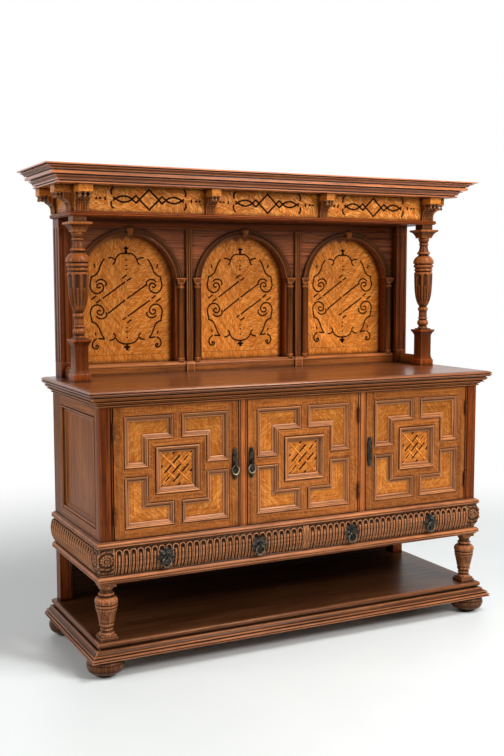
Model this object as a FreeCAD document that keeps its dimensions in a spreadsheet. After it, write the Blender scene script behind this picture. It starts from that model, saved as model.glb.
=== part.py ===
import FreeCAD, Part
import os
import Sketcher

# Hutch cabinet of carved oak, in millimetres.
# The origin lies on the floor under the middle of the footprint: +X right, +Y to the back, +Z up.
# Depths are given as distances forward of the back plane.

SIZES = {
    # case as a whole
    "body_width": 1628,
    "body_depth": 564,
    "frame_thickness": 22,
    "back_thickness": 10,
    "panel_thickness": 8,
    # feet, plinth and open shelf
    "foot_radius": 67,
    "foot_height": 66,
    "foot_clearance": 1,
    "plinth_height": 42,
    "plinth_projection": 51,
    "plinth_lip": 9,
    "plinth_thickness": 30,
    "plinth_rail": 50,
    "shelf_thickness": 18,
    "shelf_projection": 22,
    "baluster_height": 204,
    "baluster_radius": 43.5,
    "baluster_inset": 27,
    "baluster_base": 63,
    "baluster_base_height": 8,
    "baluster_cap": 58,
    "baluster_cap_height": 12,
    "rear_post_width": 50,
    # waist boards and drawers
    "waist_projection": 16,
    "lower_waist_thickness": 30,
    "upper_waist_thickness": 25,
    "drawer_opening": 95,
    "frieze_foot": 5,
    "frieze_head": 12,
    "frieze_bow": 12.3,
    "corner_block_width": 47,
    "tongue_width": 23.5,
    "drawer_gap": 1.5,
    "guide_ledge": 8,
    "guide_height": 40,
    "drawer_run_gap": 0.5,
    "drawer_side": 12,
    "drawer_bottom": 7,
    "drawer_bottom_lift": 6,
    "drawer_headroom": 14.5,
    "drawer_box_length": 440,
    # cupboard
    "door_opening": 473,
    "stile_width": 51,
    "divider_width": 33,
    "partition_thickness": 20,
    "cupboard_shelf_setback": 11,
    "side_post_width": 66,
    "side_rear_stile": 42,
    "side_front_stile": 27,
    "side_top_rail": 35,
    "side_bottom_rail": 38,
    "side_moulding_width": 20,
    "side_recess": 13,
    # doors
    "door_thickness": 24,
    "door_setback": 2,
    "door_side_gap": 3,
    "door_end_gap": 2,
    "door_stile": 37,
    "door_rail": 33,
    "muntin_width": 28,
    "square_width": 224,
    "square_member": 25,
    "door_recess": 12,
    "moulding_width": 21,
    "moulding_lip": 5,
    "centre_moulding_width": 25,
    "centre_moulding_lip": 19,
    "centre_moulding_rise": 4,
    # hinges, locks, plates and rings
    "hinge_length": 60,
    "hinge_inset": 55,
    "leaf_gap": 0.2,
    "hinge_leaf_depth": 23,
    "knuckle_radius": 4,
    "knuckle_gap": 0.4,
    "hinge_pin_radius": 2,
    "hinge_fit": 0.05,
    "lock_width": 33,
    "lock_height": 70,
    "lock_depth": 12,
    "plate_width": 26,
    "plate_height": 114,
    "plate_neck": 10,
    "plate_shoulder": 84,
    "plate_thickness": 3,
    "plate_edge": 1.5,
    "eye_width": 9,
    "eye_height": 13,
    "eye_depth": 11,
    "ring_play": 0.9,
    "ring_wire": 2.5,
    "door_ring": 19.5,
    "drawer_ring": 18,
    "rosette_radius": 34,
    "rosette_thickness": 10,
    "rosette_seat": 12,
    "rosette_spacing": 374,
    "seat_clearance": 0.3,
    # top of the case
    "top_moulding_height": 40,
    "top_moulding_foot": 8,
    "top_moulding_step": 24,
    "top_moulding_projection": 33,
    "top_board_thickness": 22,
    "top_projection": 46,
    # hutch
    "hutch_inset": 13,
    "hutch_depth": 263,
    "hutch_opening": 609,
    "end_post_width": 55,
    "end_post_depth": 78,
    "hutch_rail_height": 43,
    "hutch_rail_depth": 60,
    "hutch_block": 35,
    "hutch_block_projection": 8,
    "side_rail_width": 20,
    "arcade_depth": 45,
    "arch_rise": 172,
    "arch_moulding_gap": 2,
    "arch_moulding_width": 30,
    "arch_moulding_crown": 22,
    "arch_moulding_thickness": 10,
    "arcade_rail_height": 31,
    "arcade_rail_thickness": 5,
    "pilaster_width": 27,
    "pilaster_thickness": 12,
    "jamb_radius": 16,
    "jamb_reveal": 22.5,
    "impost_gap": 3.2,
    "impost_width": 38,
    "impost_height": 21,
    "impost_thickness": 19,
    "keystone_foot": 20,
    "keystone_head": 28,
    "keystone_height": 31,
    "keystone_rise": 4,
    "keystone_thickness": 12,
    "column_inset": 25,
    "pedestal_height": 162,
    "pedestal_base": 67,
    "pedestal_base_height": 25,
    "pedestal_slope": 20,
    "pedestal_block": 52,
    "pedestal_cap": 73,
    "pedestal_cap_height": 20,
    "pedestal_cap_edge": 6,
    "column_seat": 48,
    "column_seat_height": 5,
    "column_radius": 45.5,
    "cap_foot": 50,
    "cap_foot_height": 3,
    "cap_width": 88,
    "cap_edge": 7,
    "cap_height": 35,
    "cap_block": 52,
    "cap_block_height": 22,
    # entablature
    "soffit_thickness": 18,
    "soffit_projection": 12.5,
    "frieze_height": 94,
    "bracket_width": 55,
    "middle_bracket_width": 38.5,
    "bracket_inset": 4,
    "bracket_projection": 65,
    "bracket_block_height": 28,
    "bracket_throat": 57,
    "bracket_turn": 40,
    "bracket_foot": 9,
    "bracket_foot_height": 12,
    "cornice_height": 64,
    "cornice_foot": 75,
    "cornice_step": 106,
    "cornice_projection": 135,
    "roof_thickness": 12,
}

# Turned outlines from the foot up: radius and height as parts of the full radius and length,
# then how far the stretch to the next row bows out, as a part of the full radius.
BALUSTER_TURNING = (
    (0.62, 0.000, 0.07),
    (0.62, 0.103, 0),
    (0.47, 0.163, 0),
    (0.53, 0.185, 0.07),
    (0.56, 0.293, 0.03),
    (0.93, 0.620, 0.06),
    (0.86, 0.770, 0.02),
    (0.58, 0.810, 0),
    (0.62, 0.825, 0.06),
    (0.62, 0.885, 0),
    (0.53, 0.902, 0),
    (0.53, 1.000, 0),
)
COLUMN_TURNING = (
    (0.42, 0.000, 0),
    (0.42, 0.013, 0.06),
    (0.44, 0.097, 0),
    (0.34, 0.123, 0),
    (0.38, 0.187, 0),
    (0.42, 0.197, 0.04),
    (0.42, 0.245, 0),
    (0.39, 0.256, 0),
    (0.51, 0.297, 0.05),
    (0.82, 0.487, 0),
    (0.86, 0.610, 0),
    (0.76, 0.633, 0),
    (0.80, 0.656, 0.21),
    (0.77, 0.777, 0),
    (0.46, 0.797, 0),
    (0.56, 0.806, 0.08),
    (0.56, 0.828, 0),
    (0.35, 0.844, 0),
    (0.35, 0.887, 0),
    (0.43, 0.912, 0),
    (0.41, 0.938, 0),
    (0.48, 0.950, 0.05),
    (0.48, 0.986, 0),
    (0.45, 1.000, 0),
)
FLAT = 0.01
NAMES_OF_SIDES = ("left", "right")


class Measure:
    """A length kept both as a number and as the sheet expression that gives it."""

    def __init__(self, value, text):
        self.value = value
        self.text = text

    def __add__(self, other):
        other = measure(other)
        return Measure(self.value + other.value, f"({self.text} + {other.text})")

    def __sub__(self, other):
        other = measure(other)
        return Measure(self.value - other.value, f"({self.text} - {other.text})")

    def __mul__(self, other):
        other = measure(other)
        return Measure(self.value * other.value, f"({self.text} * {other.text})")

    def __truediv__(self, other):
        other = measure(other)
        return Measure(self.value / other.value, f"({self.text} / {other.text})")

    def __neg__(self):
        return Measure(-self.value, f"(0 - {self.text})")


class Sizes:
    """The sheet's cells by name."""


def measure(length):
    return length if isinstance(length, Measure) else Measure(length, f"({length})")


def bind(thing, prop, length):
    thing.setExpression(prop, measure(length).text)


def place(thing, x=0, y=0, z=0):
    for axis, length in zip("xyz", (x, y, z)):
        bind(thing, f"Placement.Base.{axis}", length)
    return thing


def turn(thing, axis, angle):
    thing.Placement = FreeCAD.Placement(FreeCAD.Vector(), FreeCAD.Rotation(FreeCAD.Vector(*axis), angle))
    return thing


def board(x, y, z):
    piece = doc.addObject("Part::Box", "board")
    for side, (low, high) in zip(("Length", "Width", "Height"), (x, y, z)):
        bind(piece, side, measure(high) - low)
    return place(piece, x[0], y[0], z[0])


def rod(radius, length, axis, angle):
    piece = turn(doc.addObject("Part::Cylinder", "rod"), axis, angle)
    bind(piece, "Radius", radius)
    bind(piece, "Height", length)
    return piece


def mirrored(piece, normal=(1, 0, 0), x=0, z=0):
    copy = doc.addObject("Part::Mirroring", "mirrored")
    copy.Source = piece
    copy.Normal = FreeCAD.Vector(*normal)
    bind(copy, "Base.x", x)
    bind(copy, "Base.z", z)
    return copy


def both_sides(*pieces):
    return list(pieces) + [mirrored(piece) for piece in pieces]


def fused(*pieces):
    whole = doc.addObject("Part::MultiFuse", "fused")
    whole.Shapes = list(pieces)
    return whole


def cut(base, tool):
    rest = doc.addObject("Part::Cut", "cut")
    rest.Base = base
    rest.Tool = tool
    return rest


def group(pieces):
    whole = doc.addObject("Part::Compound", "group")
    whole.Links = list(pieces)
    return whole


def node(label, *pieces):
    whole = pieces[0] if len(pieces) == 1 else group(pieces)
    whole.Label = label
    nodes.append(whole)


def edge(sketch, index, start, finish, bow):
    """One side of an outline; a positive bow swells to the right of the way the outline runs."""
    near = FreeCAD.Vector(start[0].value, start[1].value, 0)
    far = FreeCAD.Vector(finish[0].value, finish[1].value, 0)
    if bow.value == 0:
        sketch.addGeometry(Part.LineSegment(near, far), False)
        return 1, 2
    chord = far - near
    swell = FreeCAD.Vector(chord.y, -chord.x, 0).normalize() * bow.value
    middle = (near + far) * 0.5 + swell
    across = finish[0] - start[0]
    up = finish[1] - start[1]
    rise = bow if bow.value > 0 else -bow
    radius = (across * across + up * up) / (rise * 8) + rise / 2
    ends = (near, far) if bow.value > 0 else (far, near)
    sketch.addGeometry(Part.Arc(ends[0], middle, ends[1]), False)
    number = sketch.addConstraint(Sketcher.Constraint("Radius", index, radius.value))
    bind(sketch, f"Constraints[{number}]", radius)
    return (1, 2) if bow.value > 0 else (2, 1)


def outline(body, role, points):
    """A closed sketch through points of (across, up) or (across, up, bow to the next point)."""
    sketch = body.newObject("Sketcher::SketchObject", "outline")
    plane = next(feature for feature in body.Origin.OriginFeatures if feature.Role == role)
    sketch.AttachmentSupport = [(plane, "")]
    sketch.MapMode = "FlatFace"
    corners = [(measure(point[0]), measure(point[1])) for point in points]
    bows = [measure(point[2] if len(point) == 3 else 0) for point in points]
    following = corners[1:] + corners[:1]
    ends = [
        edge(sketch, index, start, finish, bow)
        for index, (start, finish, bow) in enumerate(zip(corners, following, bows))
    ]
    for index, (near, far) in enumerate(ends):
        after = (index + 1) % len(ends)
        sketch.addConstraint(Sketcher.Constraint("Coincident", index, far, after, ends[after][0]))
        for kind, length in zip(("DistanceX", "DistanceY"), corners[index]):
            number = sketch.addConstraint(Sketcher.Constraint(kind, -1, 1, index, near, length.value))
            bind(sketch, f"Constraints[{number}]", length)
    return sketch


def padded(role, points, length):
    """A board cut to an outline. XZ outlines grow to the front, YZ ones to the right, XY ones up."""
    body = doc.addObject("PartDesign::Body", "body")
    pad = body.newObject("PartDesign::Pad", "pad")
    pad.Profile = outline(body, role, points)
    bind(pad, "Length", length)
    return body


def framed(role, outer, hollow, mouth, thickness):
    """A moulding that runs round a panel: a board with a hole that slopes from hollow to mouth."""
    body = padded(role, outer, thickness)
    front = outline(body, role, mouth)
    bind(front, "AttachmentOffset.Base.z", thickness)
    loft = body.newObject("PartDesign::SubtractiveLoft", "slope")
    loft.Profile = outline(body, role, hollow)
    loft.Sections = [front]
    loft.Ruled = True
    return body


def rectangle(left, bottom, right, top):
    return [(left, bottom), (right, bottom), (right, top), (left, top)]


def rim(shape, level):
    """Names of the front and side edges of a board at one level."""
    names = []
    for number, side in enumerate(shape.Edges, 1):
        box = side.BoundBox
        flat = abs(box.ZMin - level) < FLAT and abs(box.ZMax - level) < FLAT
        if flat and box.YMin < shape.BoundBox.YMax - FLAT:
            names.append(f"Edge{number}")
    return names


def moulded_board(side, depth, bottom, thickness, rounding, bevel):
    """A board with its top edge rounded and its lower edge bevelled, except along the back."""
    body = padded("XY_Plane", rectangle(-side, at(depth), side, at(0)), thickness)
    place(body, z=bottom)
    doc.recompute()
    pad = body.Tip
    round_edge = body.newObject("PartDesign::Fillet", "rounding")
    round_edge.Base = (pad, rim(pad.Shape, thickness.value))
    bind(round_edge, "Radius", thickness * rounding)
    doc.recompute()
    low_edge = body.newObject("PartDesign::Chamfer", "bevel")
    low_edge.Base = (round_edge, rim(round_edge.Shape, 0))
    bind(low_edge, "Size", thickness * bevel)
    return body


def mitre_block(side, depth, reach, inner, bottom, height, ahead):
    """The waste at one mitre: a block turned to the mitre line, on its outer or its inner side."""
    block = turn(doc.addObject("Part::Box", "waste"), (0, 0, 1), 45)
    spare = reach + inner
    bind(block, "Length", spare * 2)
    bind(block, "Width", spare * 2)
    bind(block, "Height", height * 2)
    step = spare * (0 if ahead else -2) * HALF_ROOT
    clear = reach + inner / 4
    return place(block, side + clear + step, at(depth + clear) + step, bottom - height / 2)


def mitred_mouldings(side, depth, reach, inner, bottom, height, profile):
    """Front, right and left lengths of one moulding; the profile is (out, up, bow)."""
    front_points = [(at(depth + out), bottom + up, -bow) for out, up, bow in profile]
    front = place(padded("YZ_Plane", front_points, (side + reach) * 2), x=-(side + reach))
    right_waste = mitre_block(side, depth, reach, inner, bottom, height, True)
    front = cut(front, group((right_waste, mirrored(right_waste))))
    side_points = [(side + out, bottom + up, bow) for out, up, bow in profile]
    right = place(padded("XZ_Plane", side_points, depth + reach), y=at(0))
    right = cut(right, mitre_block(side, depth, reach, inner, bottom, height, False))
    return front, right, mirrored(right)


def turned(turning, radius, length, x, y, z):
    """A piece turned about an upright axis."""
    points = [(measure(0), measure(0))]
    points += [(radius * share, length * up, radius * bow) for share, up, bow in turning]
    points += [(measure(0), length)]
    body = doc.addObject("PartDesign::Body", "body")
    sketch = outline(body, "XZ_Plane", points)
    turning_step = body.newObject("PartDesign::Revolution", "turning")
    turning_step.Profile = sketch
    turning_step.ReferenceAxis = (sketch, ["V_Axis"])
    turning_step.Angle = 360
    return place(body, x, y, z)


def square_piece(levels, span, x, y, z):
    """A moulded block of square section; levels are (width, height, bow) from the foot up."""
    right = [(width / 2, up, bow) for width, up, bow in levels]
    bows = [measure(0)] + [bow for width, up, bow in levels]
    left = [(-(width / 2), up, bows[index]) for index, (width, up, bow) in enumerate(levels)]
    points = right + left[::-1]
    front = place(padded("XZ_Plane", points, span), x, y + span / 2, z)
    flank = place(padded("YZ_Plane", points, span), x - span / 2, y, z)
    whole = doc.addObject("Part::Common", "moulded_block")
    whole.Base = front
    whole.Tool = flank
    return whole


doc = FreeCAD.newDocument("hutch_cabinet")
sheet = doc.addObject("Spreadsheet::Sheet", "sizes")
size = Sizes()
for row, (name, number) in enumerate(SIZES.items(), 1):
    sheet.set(f"A{row}", name)
    sheet.set(f"B{row}", str(number))
    sheet.setAlias(f"B{row}", name)
    setattr(size, name, Measure(number, f"sizes.{name}"))
doc.recompute()
nodes = []
ZERO = measure(0)
HALF_ROOT = 0.5 ** 0.5

# Reference lines: half widths, depths and the levels of the stacked boards.
half = size.body_width / 2
depth = size.body_depth
rear = (depth + size.plinth_projection) / 2
inside = half - size.frame_thickness
case_front = depth - size.frame_thickness
shelf_bottom = size.foot_height + size.plinth_height
shelf_top = shelf_bottom + size.shelf_thickness
lower_waist = shelf_top + size.baluster_height
drawer_floor = lower_waist + size.lower_waist_thickness
upper_waist = drawer_floor + size.drawer_opening
door_floor = upper_waist + size.upper_waist_thickness
door_head = door_floor + size.door_opening
top_bottom = door_head + size.top_moulding_height
counter = top_bottom + size.top_board_thickness
hutch_half = half - size.hutch_inset
hutch_front = size.hutch_depth
soffit_bottom = counter + size.hutch_opening
frieze_bottom = soffit_bottom + size.soffit_thickness
cornice_bottom = frieze_bottom + size.frieze_height


def at(distance):
    """The y of a plane this far forward of the back."""
    return rear - distance


def deep(near, far):
    """The y range between two distances forward of the back."""
    return at(far), at(near)


# Feet, plinth and open shelf.
foot_inset = size.foot_radius + size.foot_clearance
foot_side = half + size.plinth_projection - foot_inset
foot_front = depth + size.plinth_projection - foot_inset
foot_turning = ((0.66, 0, 0.216), (0.90, 1, 0))
feet = [
    turned(foot_turning, size.foot_radius, size.foot_height, foot_side, at(distance), ZERO)
    for distance in (foot_front, foot_inset)
]
node("bun_feet", *both_sides(*feet))

plinth_side = half - size.plinth_thickness
plinth_front = depth - size.plinth_thickness
plinth_z = (size.foot_height, shelf_bottom)
plinth_rail = size.plinth_rail
node(
    "plinth_frame",
    board((-plinth_side, plinth_side), deep(plinth_front - plinth_rail, plinth_front), plinth_z),
    board((-plinth_side, plinth_side), deep(0, plinth_rail), plinth_z),
    *both_sides(
        board(
            (plinth_side - plinth_rail, plinth_side),
            deep(plinth_rail, plinth_front - plinth_rail),
            plinth_z,
        )
    ),
)
plinth_shoulder = size.shelf_projection + size.plinth_lip / 2
plinth_neck = size.plinth_height - size.plinth_lip / 2
node(
    "plinth_mouldings",
    *mitred_mouldings(
        half, depth, size.plinth_projection, size.plinth_thickness, size.foot_height, size.plinth_height,
        (
            (-size.plinth_thickness, ZERO, ZERO),
            (size.plinth_projection, ZERO, ZERO),
            (size.plinth_projection, size.plinth_lip, -size.plinth_lip / 2),
            (plinth_shoulder, plinth_neck, ZERO),
            (size.shelf_projection, plinth_neck, ZERO),
            (size.shelf_projection, size.plinth_height, ZERO),
            (-size.plinth_thickness, size.plinth_height, ZERO),
        ),
    ),
)
node(
    "shelf_board",
    moulded_board(
        half + size.shelf_projection,
        depth + size.shelf_projection,
        shelf_bottom,
        size.shelf_thickness,
        0.45,
        0.25,
    ),
)

baluster_x = half - size.baluster_inset
baluster_y = at(depth - size.baluster_inset)
baluster_foot = shelf_top + size.baluster_base_height
baluster_head = lower_waist - size.baluster_cap_height


def square_block(width, x, y, z):
    return board((x - width / 2, x + width / 2), (y - width / 2, y + width / 2), z)


baluster = fused(
    square_block(size.baluster_base, baluster_x, baluster_y, (shelf_top, baluster_foot)),
    turned(
        BALUSTER_TURNING,
        size.baluster_radius,
        baluster_head - baluster_foot,
        baluster_x,
        baluster_y,
        baluster_foot,
    ),
    square_block(size.baluster_cap, baluster_x, baluster_y, (baluster_head, lower_waist)),
)
node("front_balusters", *both_sides(baluster))
post_x = (half - size.rear_post_width, half)
node("rear_posts", *both_sides(board(post_x, deep(0, size.rear_post_width), (shelf_top, lower_waist))))
node(
    "back_boards",
    board((-post_x[0], post_x[0]), deep(0, size.back_thickness), (shelf_top, lower_waist)),
    board((-inside, inside), deep(0, size.back_thickness), (drawer_floor, upper_waist)),
    board((-inside, inside), deep(0, size.back_thickness), (door_floor, top_bottom)),
)

# Drawer case: waist boards, bowed friezes, corner blocks, tongue and guides.
waist_side = half + size.waist_projection
waist_front = depth + size.waist_projection
node(
    "lower_waist_board",
    moulded_board(waist_side, waist_front, lower_waist, size.lower_waist_thickness, 0.4, 0.35),
)
node(
    "upper_waist_board",
    moulded_board(waist_side, waist_front, upper_waist, size.upper_waist_thickness, 0.4, 0.3),
)


def bowed(inner, face, out, bottom, top):
    """Outline of a bowed frieze between two levels of the drawer zone."""
    bow = size.frieze_bow if out > 0 else -size.frieze_bow
    return [
        (inner, bottom),
        (face + size.frieze_foot * out, bottom, bow),
        (face + size.frieze_head * out, top),
        (inner, top),
    ]


block_width = size.corner_block_width
block_reach = block_width + size.frieze_head + size.frieze_bow
side_frieze = padded(
    "XZ_Plane", bowed(inside, half, 1, drawer_floor, upper_waist), depth - block_width
)
node("side_friezes", *both_sides(place(side_frieze, y=at(0))))

block_flank = padded("XZ_Plane", bowed(half - block_width, half, 1, drawer_floor, upper_waist), block_reach)
block_front = padded(
    "YZ_Plane", bowed(at(depth - block_width), at(depth), -1, drawer_floor, upper_waist), block_reach
)
corner_block = doc.addObject("Part::Common", "corner_block")
corner_block.Base = place(block_flank, y=at(depth - block_width))
corner_block.Tool = place(block_front, x=half - block_width)
tongue_outline = bowed(at(case_front), at(depth), -1, drawer_floor, upper_waist)
tongue = padded("YZ_Plane", tongue_outline, size.tongue_width)
node("corner_blocks", *both_sides(corner_block), place(tongue, x=-size.tongue_width / 2))

drawer_gap = size.drawer_gap
guide_z = (drawer_floor, drawer_floor + size.guide_height)
guide_half = size.tongue_width / 2 + size.guide_ledge
guide_inner = half - block_width - size.guide_ledge
node(
    "drawer_guides",
    board((-guide_half, guide_half), deep(size.back_thickness, case_front), guide_z),
    *both_sides(
        board((guide_inner, inside), deep(size.back_thickness, depth - block_width), guide_z)
    ),
)

# Cupboard carcass.
opening = (size.body_width - size.stile_width * 2 - size.divider_width * 2) / 3
bay_pitch = opening + size.divider_width
divider_x = (opening / 2, opening / 2 + size.divider_width)
cupboard_z = (door_floor, door_head)
stile_y = deep(case_front, depth)
door_face = depth - size.door_setback
door_back = door_face - size.door_thickness
node(
    "front_stiles",
    *both_sides(
        board((half - size.stile_width, half), stile_y, cupboard_z),
        board(divider_x, stile_y, cupboard_z),
    ),
)
panel_near = size.side_post_width + size.side_rear_stile
panel_far = case_front - size.side_front_stile
panel_low = door_floor + size.side_bottom_rail
panel_high = door_head - size.side_top_rail
side_x = (inside, half)
node(
    "side_frames",
    *both_sides(
        board(side_x, deep(0, size.side_post_width), cupboard_z),
        board(side_x, deep(size.side_post_width, panel_near), cupboard_z),
        board(side_x, deep(panel_far, case_front), cupboard_z),
        board(side_x, deep(panel_near, panel_far), (panel_high, door_head)),
        board(side_x, deep(panel_near, panel_far), (door_floor, panel_low)),
    ),
)
panel_face = half - size.side_recess


def side_ring(inset):
    return rectangle(at(panel_far) + inset, panel_low + inset, at(panel_near) - inset, panel_high - inset)


side_moulding = framed(
    "YZ_Plane",
    side_ring(ZERO),
    side_ring(size.side_moulding_width),
    side_ring(size.moulding_lip),
    size.side_recess,
)
node(
    "side_panels",
    *both_sides(
        board(
            (panel_face - size.panel_thickness, panel_face),
            deep(panel_near, panel_far),
            (panel_low, panel_high),
        ),
        place(side_moulding, x=panel_face),
    ),
)
partition_middle = (divider_x[0] + divider_x[1]) / 2
partition_half = size.partition_thickness / 2
partition_x = (partition_middle - partition_half, partition_middle + partition_half)
node(
    "cabinet_partitions",
    *both_sides(board(partition_x, deep(size.back_thickness, case_front), (door_floor, top_bottom))),
)
door_middle_z = door_floor + size.door_opening / 2
shelf_z = (door_middle_z - size.shelf_thickness / 2, door_middle_z + size.shelf_thickness / 2)
shelf_front = door_back - size.lock_depth - size.cupboard_shelf_setback
shelf_y = deep(size.back_thickness, shelf_front)
node(
    "interior_shelves",
    board((-partition_x[0], partition_x[0]), shelf_y, shelf_z),
    *both_sides(board((partition_x[1], inside), shelf_y, shelf_z)),
)

# Hinges. The pin stands in front of the stile, over the middle of the gap beside the door.
hinge_depth = depth + size.knuckle_radius + size.seat_clearance
hinge_y = at(hinge_depth)
hinge_low = door_floor + size.door_end_gap + size.hinge_inset
hinge_z = (hinge_low, hinge_low + size.hinge_length)
knuckle_length = (size.hinge_length - size.knuckle_gap * 2) / 3
knuckle_lows = [hinge_low + (knuckle_length + size.knuckle_gap) * place_up for place_up in range(3)]
plate_front = hinge_depth - size.knuckle_radius - size.knuckle_gap
leaf_thickness = (size.door_side_gap - size.leaf_gap) / 2


def hinge_leaf(x, axis, lows):
    """A leaf, the knuckles at the given heights and the bore for the pin."""
    pieces = [board(x, deep(plate_front - size.hinge_leaf_depth, plate_front), hinge_z)]
    for low in lows:
        pieces.append(board(x, deep(plate_front, hinge_depth), (low, low + knuckle_length)))
        pieces.append(place(rod(size.knuckle_radius, knuckle_length, (0, 0, 1), 0), axis, hinge_y, low))
    bore = rod(size.hinge_pin_radius + size.hinge_fit, size.hinge_length, (0, 0, 1), 0)
    return cut(fused(*pieces), place(bore, axis, hinge_y, hinge_low))


def hinge(axis):
    """Frame leaf, pin and door leaf of a hinge with the door on its left."""
    edge_gap = size.door_side_gap / 2
    frame_leaf = hinge_leaf(
        (axis + edge_gap - leaf_thickness, axis + edge_gap), axis, (knuckle_lows[0], knuckle_lows[2])
    )
    door_leaf = hinge_leaf((axis - edge_gap, axis - edge_gap + leaf_thickness), axis, knuckle_lows[1:2])
    pin = rod(size.hinge_pin_radius, size.hinge_length, (0, 0, 1), 0)
    return frame_leaf, place(pin, axis, hinge_y, hinge_low), door_leaf


def above(piece):
    """The same piece at the upper hinge of the door."""
    return mirrored(piece, (0, 0, 1), z=door_middle_z)


right_axis = bay_pitch + opening / 2 - size.door_side_gap / 2
middle_axis = opening / 2 - size.door_side_gap / 2
right_hinge = hinge(right_axis)
middle_hinge = hinge(middle_axis)
frame_leaves = []
for lower in right_hinge[:2]:
    frame_leaves += both_sides(lower, above(lower))
for lower in middle_hinge[:2]:
    frame_leaves += [lower, above(lower)]
node("hinge_frame_leaves", *frame_leaves)
right_leaves = [right_hinge[2], above(right_hinge[2])]
door_leaves = {
    "left": [mirrored(leaf) for leaf in right_leaves],
    "middle": [middle_hinge[2], above(middle_hinge[2])],
    "right": right_leaves,
}

# Doors.
door_half = opening / 2 - size.door_side_gap
door_rise = size.door_opening / 2 - size.door_end_gap
field_side = door_half - size.door_stile
field_rise = door_rise - size.door_rail
square_half = size.square_width / 2
square_inner = square_half - size.square_member
muntin_half = size.muntin_width / 2
door_panel_face = door_face - size.door_recess
eye_x = size.eye_width / 2
eye_z = size.eye_height / 2


def corner_field(inset):
    """One L-shaped field of the door, seen from the middle of the door."""
    side = muntin_half + inset
    step = square_half + inset
    return [
        (side, step),
        (step, step),
        (step, side),
        (field_side - inset, side),
        (field_side - inset, field_rise - inset),
        (side, field_rise - inset),
    ]


def four_corners(piece, x):
    right = [piece, mirrored(piece, (0, 0, 1), z=door_middle_z)]
    return right + [mirrored(corner, x=x) for corner in right]


def eye(x, front, z):
    """The drilled eye of a ring, standing on a plate's front."""
    block = board((x - eye_x, x + eye_x), deep(front, front + size.eye_depth), (z - eye_z, z + eye_z))
    bore = rod(size.ring_wire + size.ring_play, size.eye_width * 2, (0, 1, 0), 90)
    return cut(block, place(bore, x - size.eye_width, at(front + size.eye_depth / 2), z))


def hanging_ring(radius, x, front, z):
    ring = turn(doc.addObject("Part::Torus", "ring"), (1, 0, 0), 90)
    bind(ring, "Radius1", radius)
    bind(ring, "Radius2", size.ring_wire)
    return place(ring, x, at(front + size.eye_depth / 2), z - radius)


def door(name, x, free_side, has_ring):
    """One door: framing, panels, mouldings and metalwork. free_side is -1 for an edge on the left."""
    low = door_middle_z - door_rise
    high = door_middle_z + door_rise
    thick = deep(door_back, door_face)

    def bar(left, bottom, right, top):
        return board((x + left, x + right), thick, (door_middle_z + bottom, door_middle_z + top))

    stile = bar(field_side, -door_rise, door_half, door_rise)
    rail = bar(-field_side, field_rise, field_side, door_rise)
    square_bar = bar(-square_half, square_inner, square_half, square_half)
    square_post = bar(square_inner, -square_inner, square_half, square_inner)
    muntin = bar(-muntin_half, square_half, muntin_half, field_rise)
    cross_bar = bar(square_half, -muntin_half, field_side, muntin_half)
    framing = []
    for piece in (stile, square_post, cross_bar):
        framing += [piece, mirrored(piece, x=x)]
    for piece in (rail, square_bar, muntin):
        framing += [piece, above(piece)]
    node(f"door_{name}_frame", *framing)

    corner = padded("XZ_Plane", corner_field(ZERO), size.panel_thickness)
    corner = place(corner, x, at(door_panel_face - size.panel_thickness), door_middle_z)
    centre_y = deep(door_panel_face - size.panel_thickness, door_panel_face)
    centre_z = (door_middle_z - square_inner, door_middle_z + square_inner)
    centre = board((x - square_inner, x + square_inner), centre_y, centre_z)
    node(f"door_{name}_panels", centre, *four_corners(corner, x))

    sunk = framed(
        "XZ_Plane",
        corner_field(ZERO),
        corner_field(size.moulding_width),
        corner_field(size.moulding_lip),
        size.door_recess,
    )
    sunk = place(sunk, x, at(door_panel_face), door_middle_z)
    window = square_inner - size.centre_moulding_width
    mouth = square_inner - size.centre_moulding_lip
    raised = framed(
        "XZ_Plane",
        rectangle(-square_inner, -square_inner, square_inner, square_inner),
        rectangle(-window, -window, window, window),
        rectangle(-mouth, -mouth, mouth, mouth),
        size.door_recess + size.centre_moulding_rise,
    )
    raised = place(raised, x, at(door_panel_face), door_middle_z)
    node(f"door_{name}_mouldings", raised, *four_corners(sunk, x))

    free_edge = x + door_half * free_side
    plate_x = free_edge - (size.plate_width / 2 + size.plate_edge) * free_side
    neck = size.plate_neck / 2
    shoulder = size.plate_shoulder / 2
    waist = shoulder - neck
    side = size.plate_width / 2
    lobe = (size.plate_height - size.plate_shoulder) / 2
    plate = padded(
        "XZ_Plane",
        [
            (-neck, -shoulder, lobe),
            (neck, -shoulder),
            (side, -waist),
            (side, waist),
            (neck, shoulder, lobe),
            (-neck, shoulder),
            (-side, waist),
            (-side, -waist),
        ],
        size.plate_thickness,
    )
    plate = place(plate, plate_x, at(door_face), door_middle_z)
    lock_middle = free_edge - size.door_stile / 2 * free_side
    lock_side = size.lock_width / 2
    lock_rise = size.lock_height / 2
    lock = board(
        (lock_middle - lock_side, lock_middle + lock_side),
        deep(door_back - size.lock_depth, door_back),
        (door_middle_z - lock_rise, door_middle_z + lock_rise),
    )
    plate_face = door_face + size.plate_thickness
    metal = [plate, lock] + door_leaves[name]
    if has_ring:
        metal.append(eye(plate_x, plate_face, door_middle_z))
    node(f"door_{name}_metalwork", *metal)
    if has_ring:
        node(f"door_{name}_ring", hanging_ring(size.door_ring, plate_x, plate_face, door_middle_z))


door("left", -bay_pitch, 1, True)
door("middle", ZERO, -1, True)
door("right", bay_pitch, -1, False)

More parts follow.
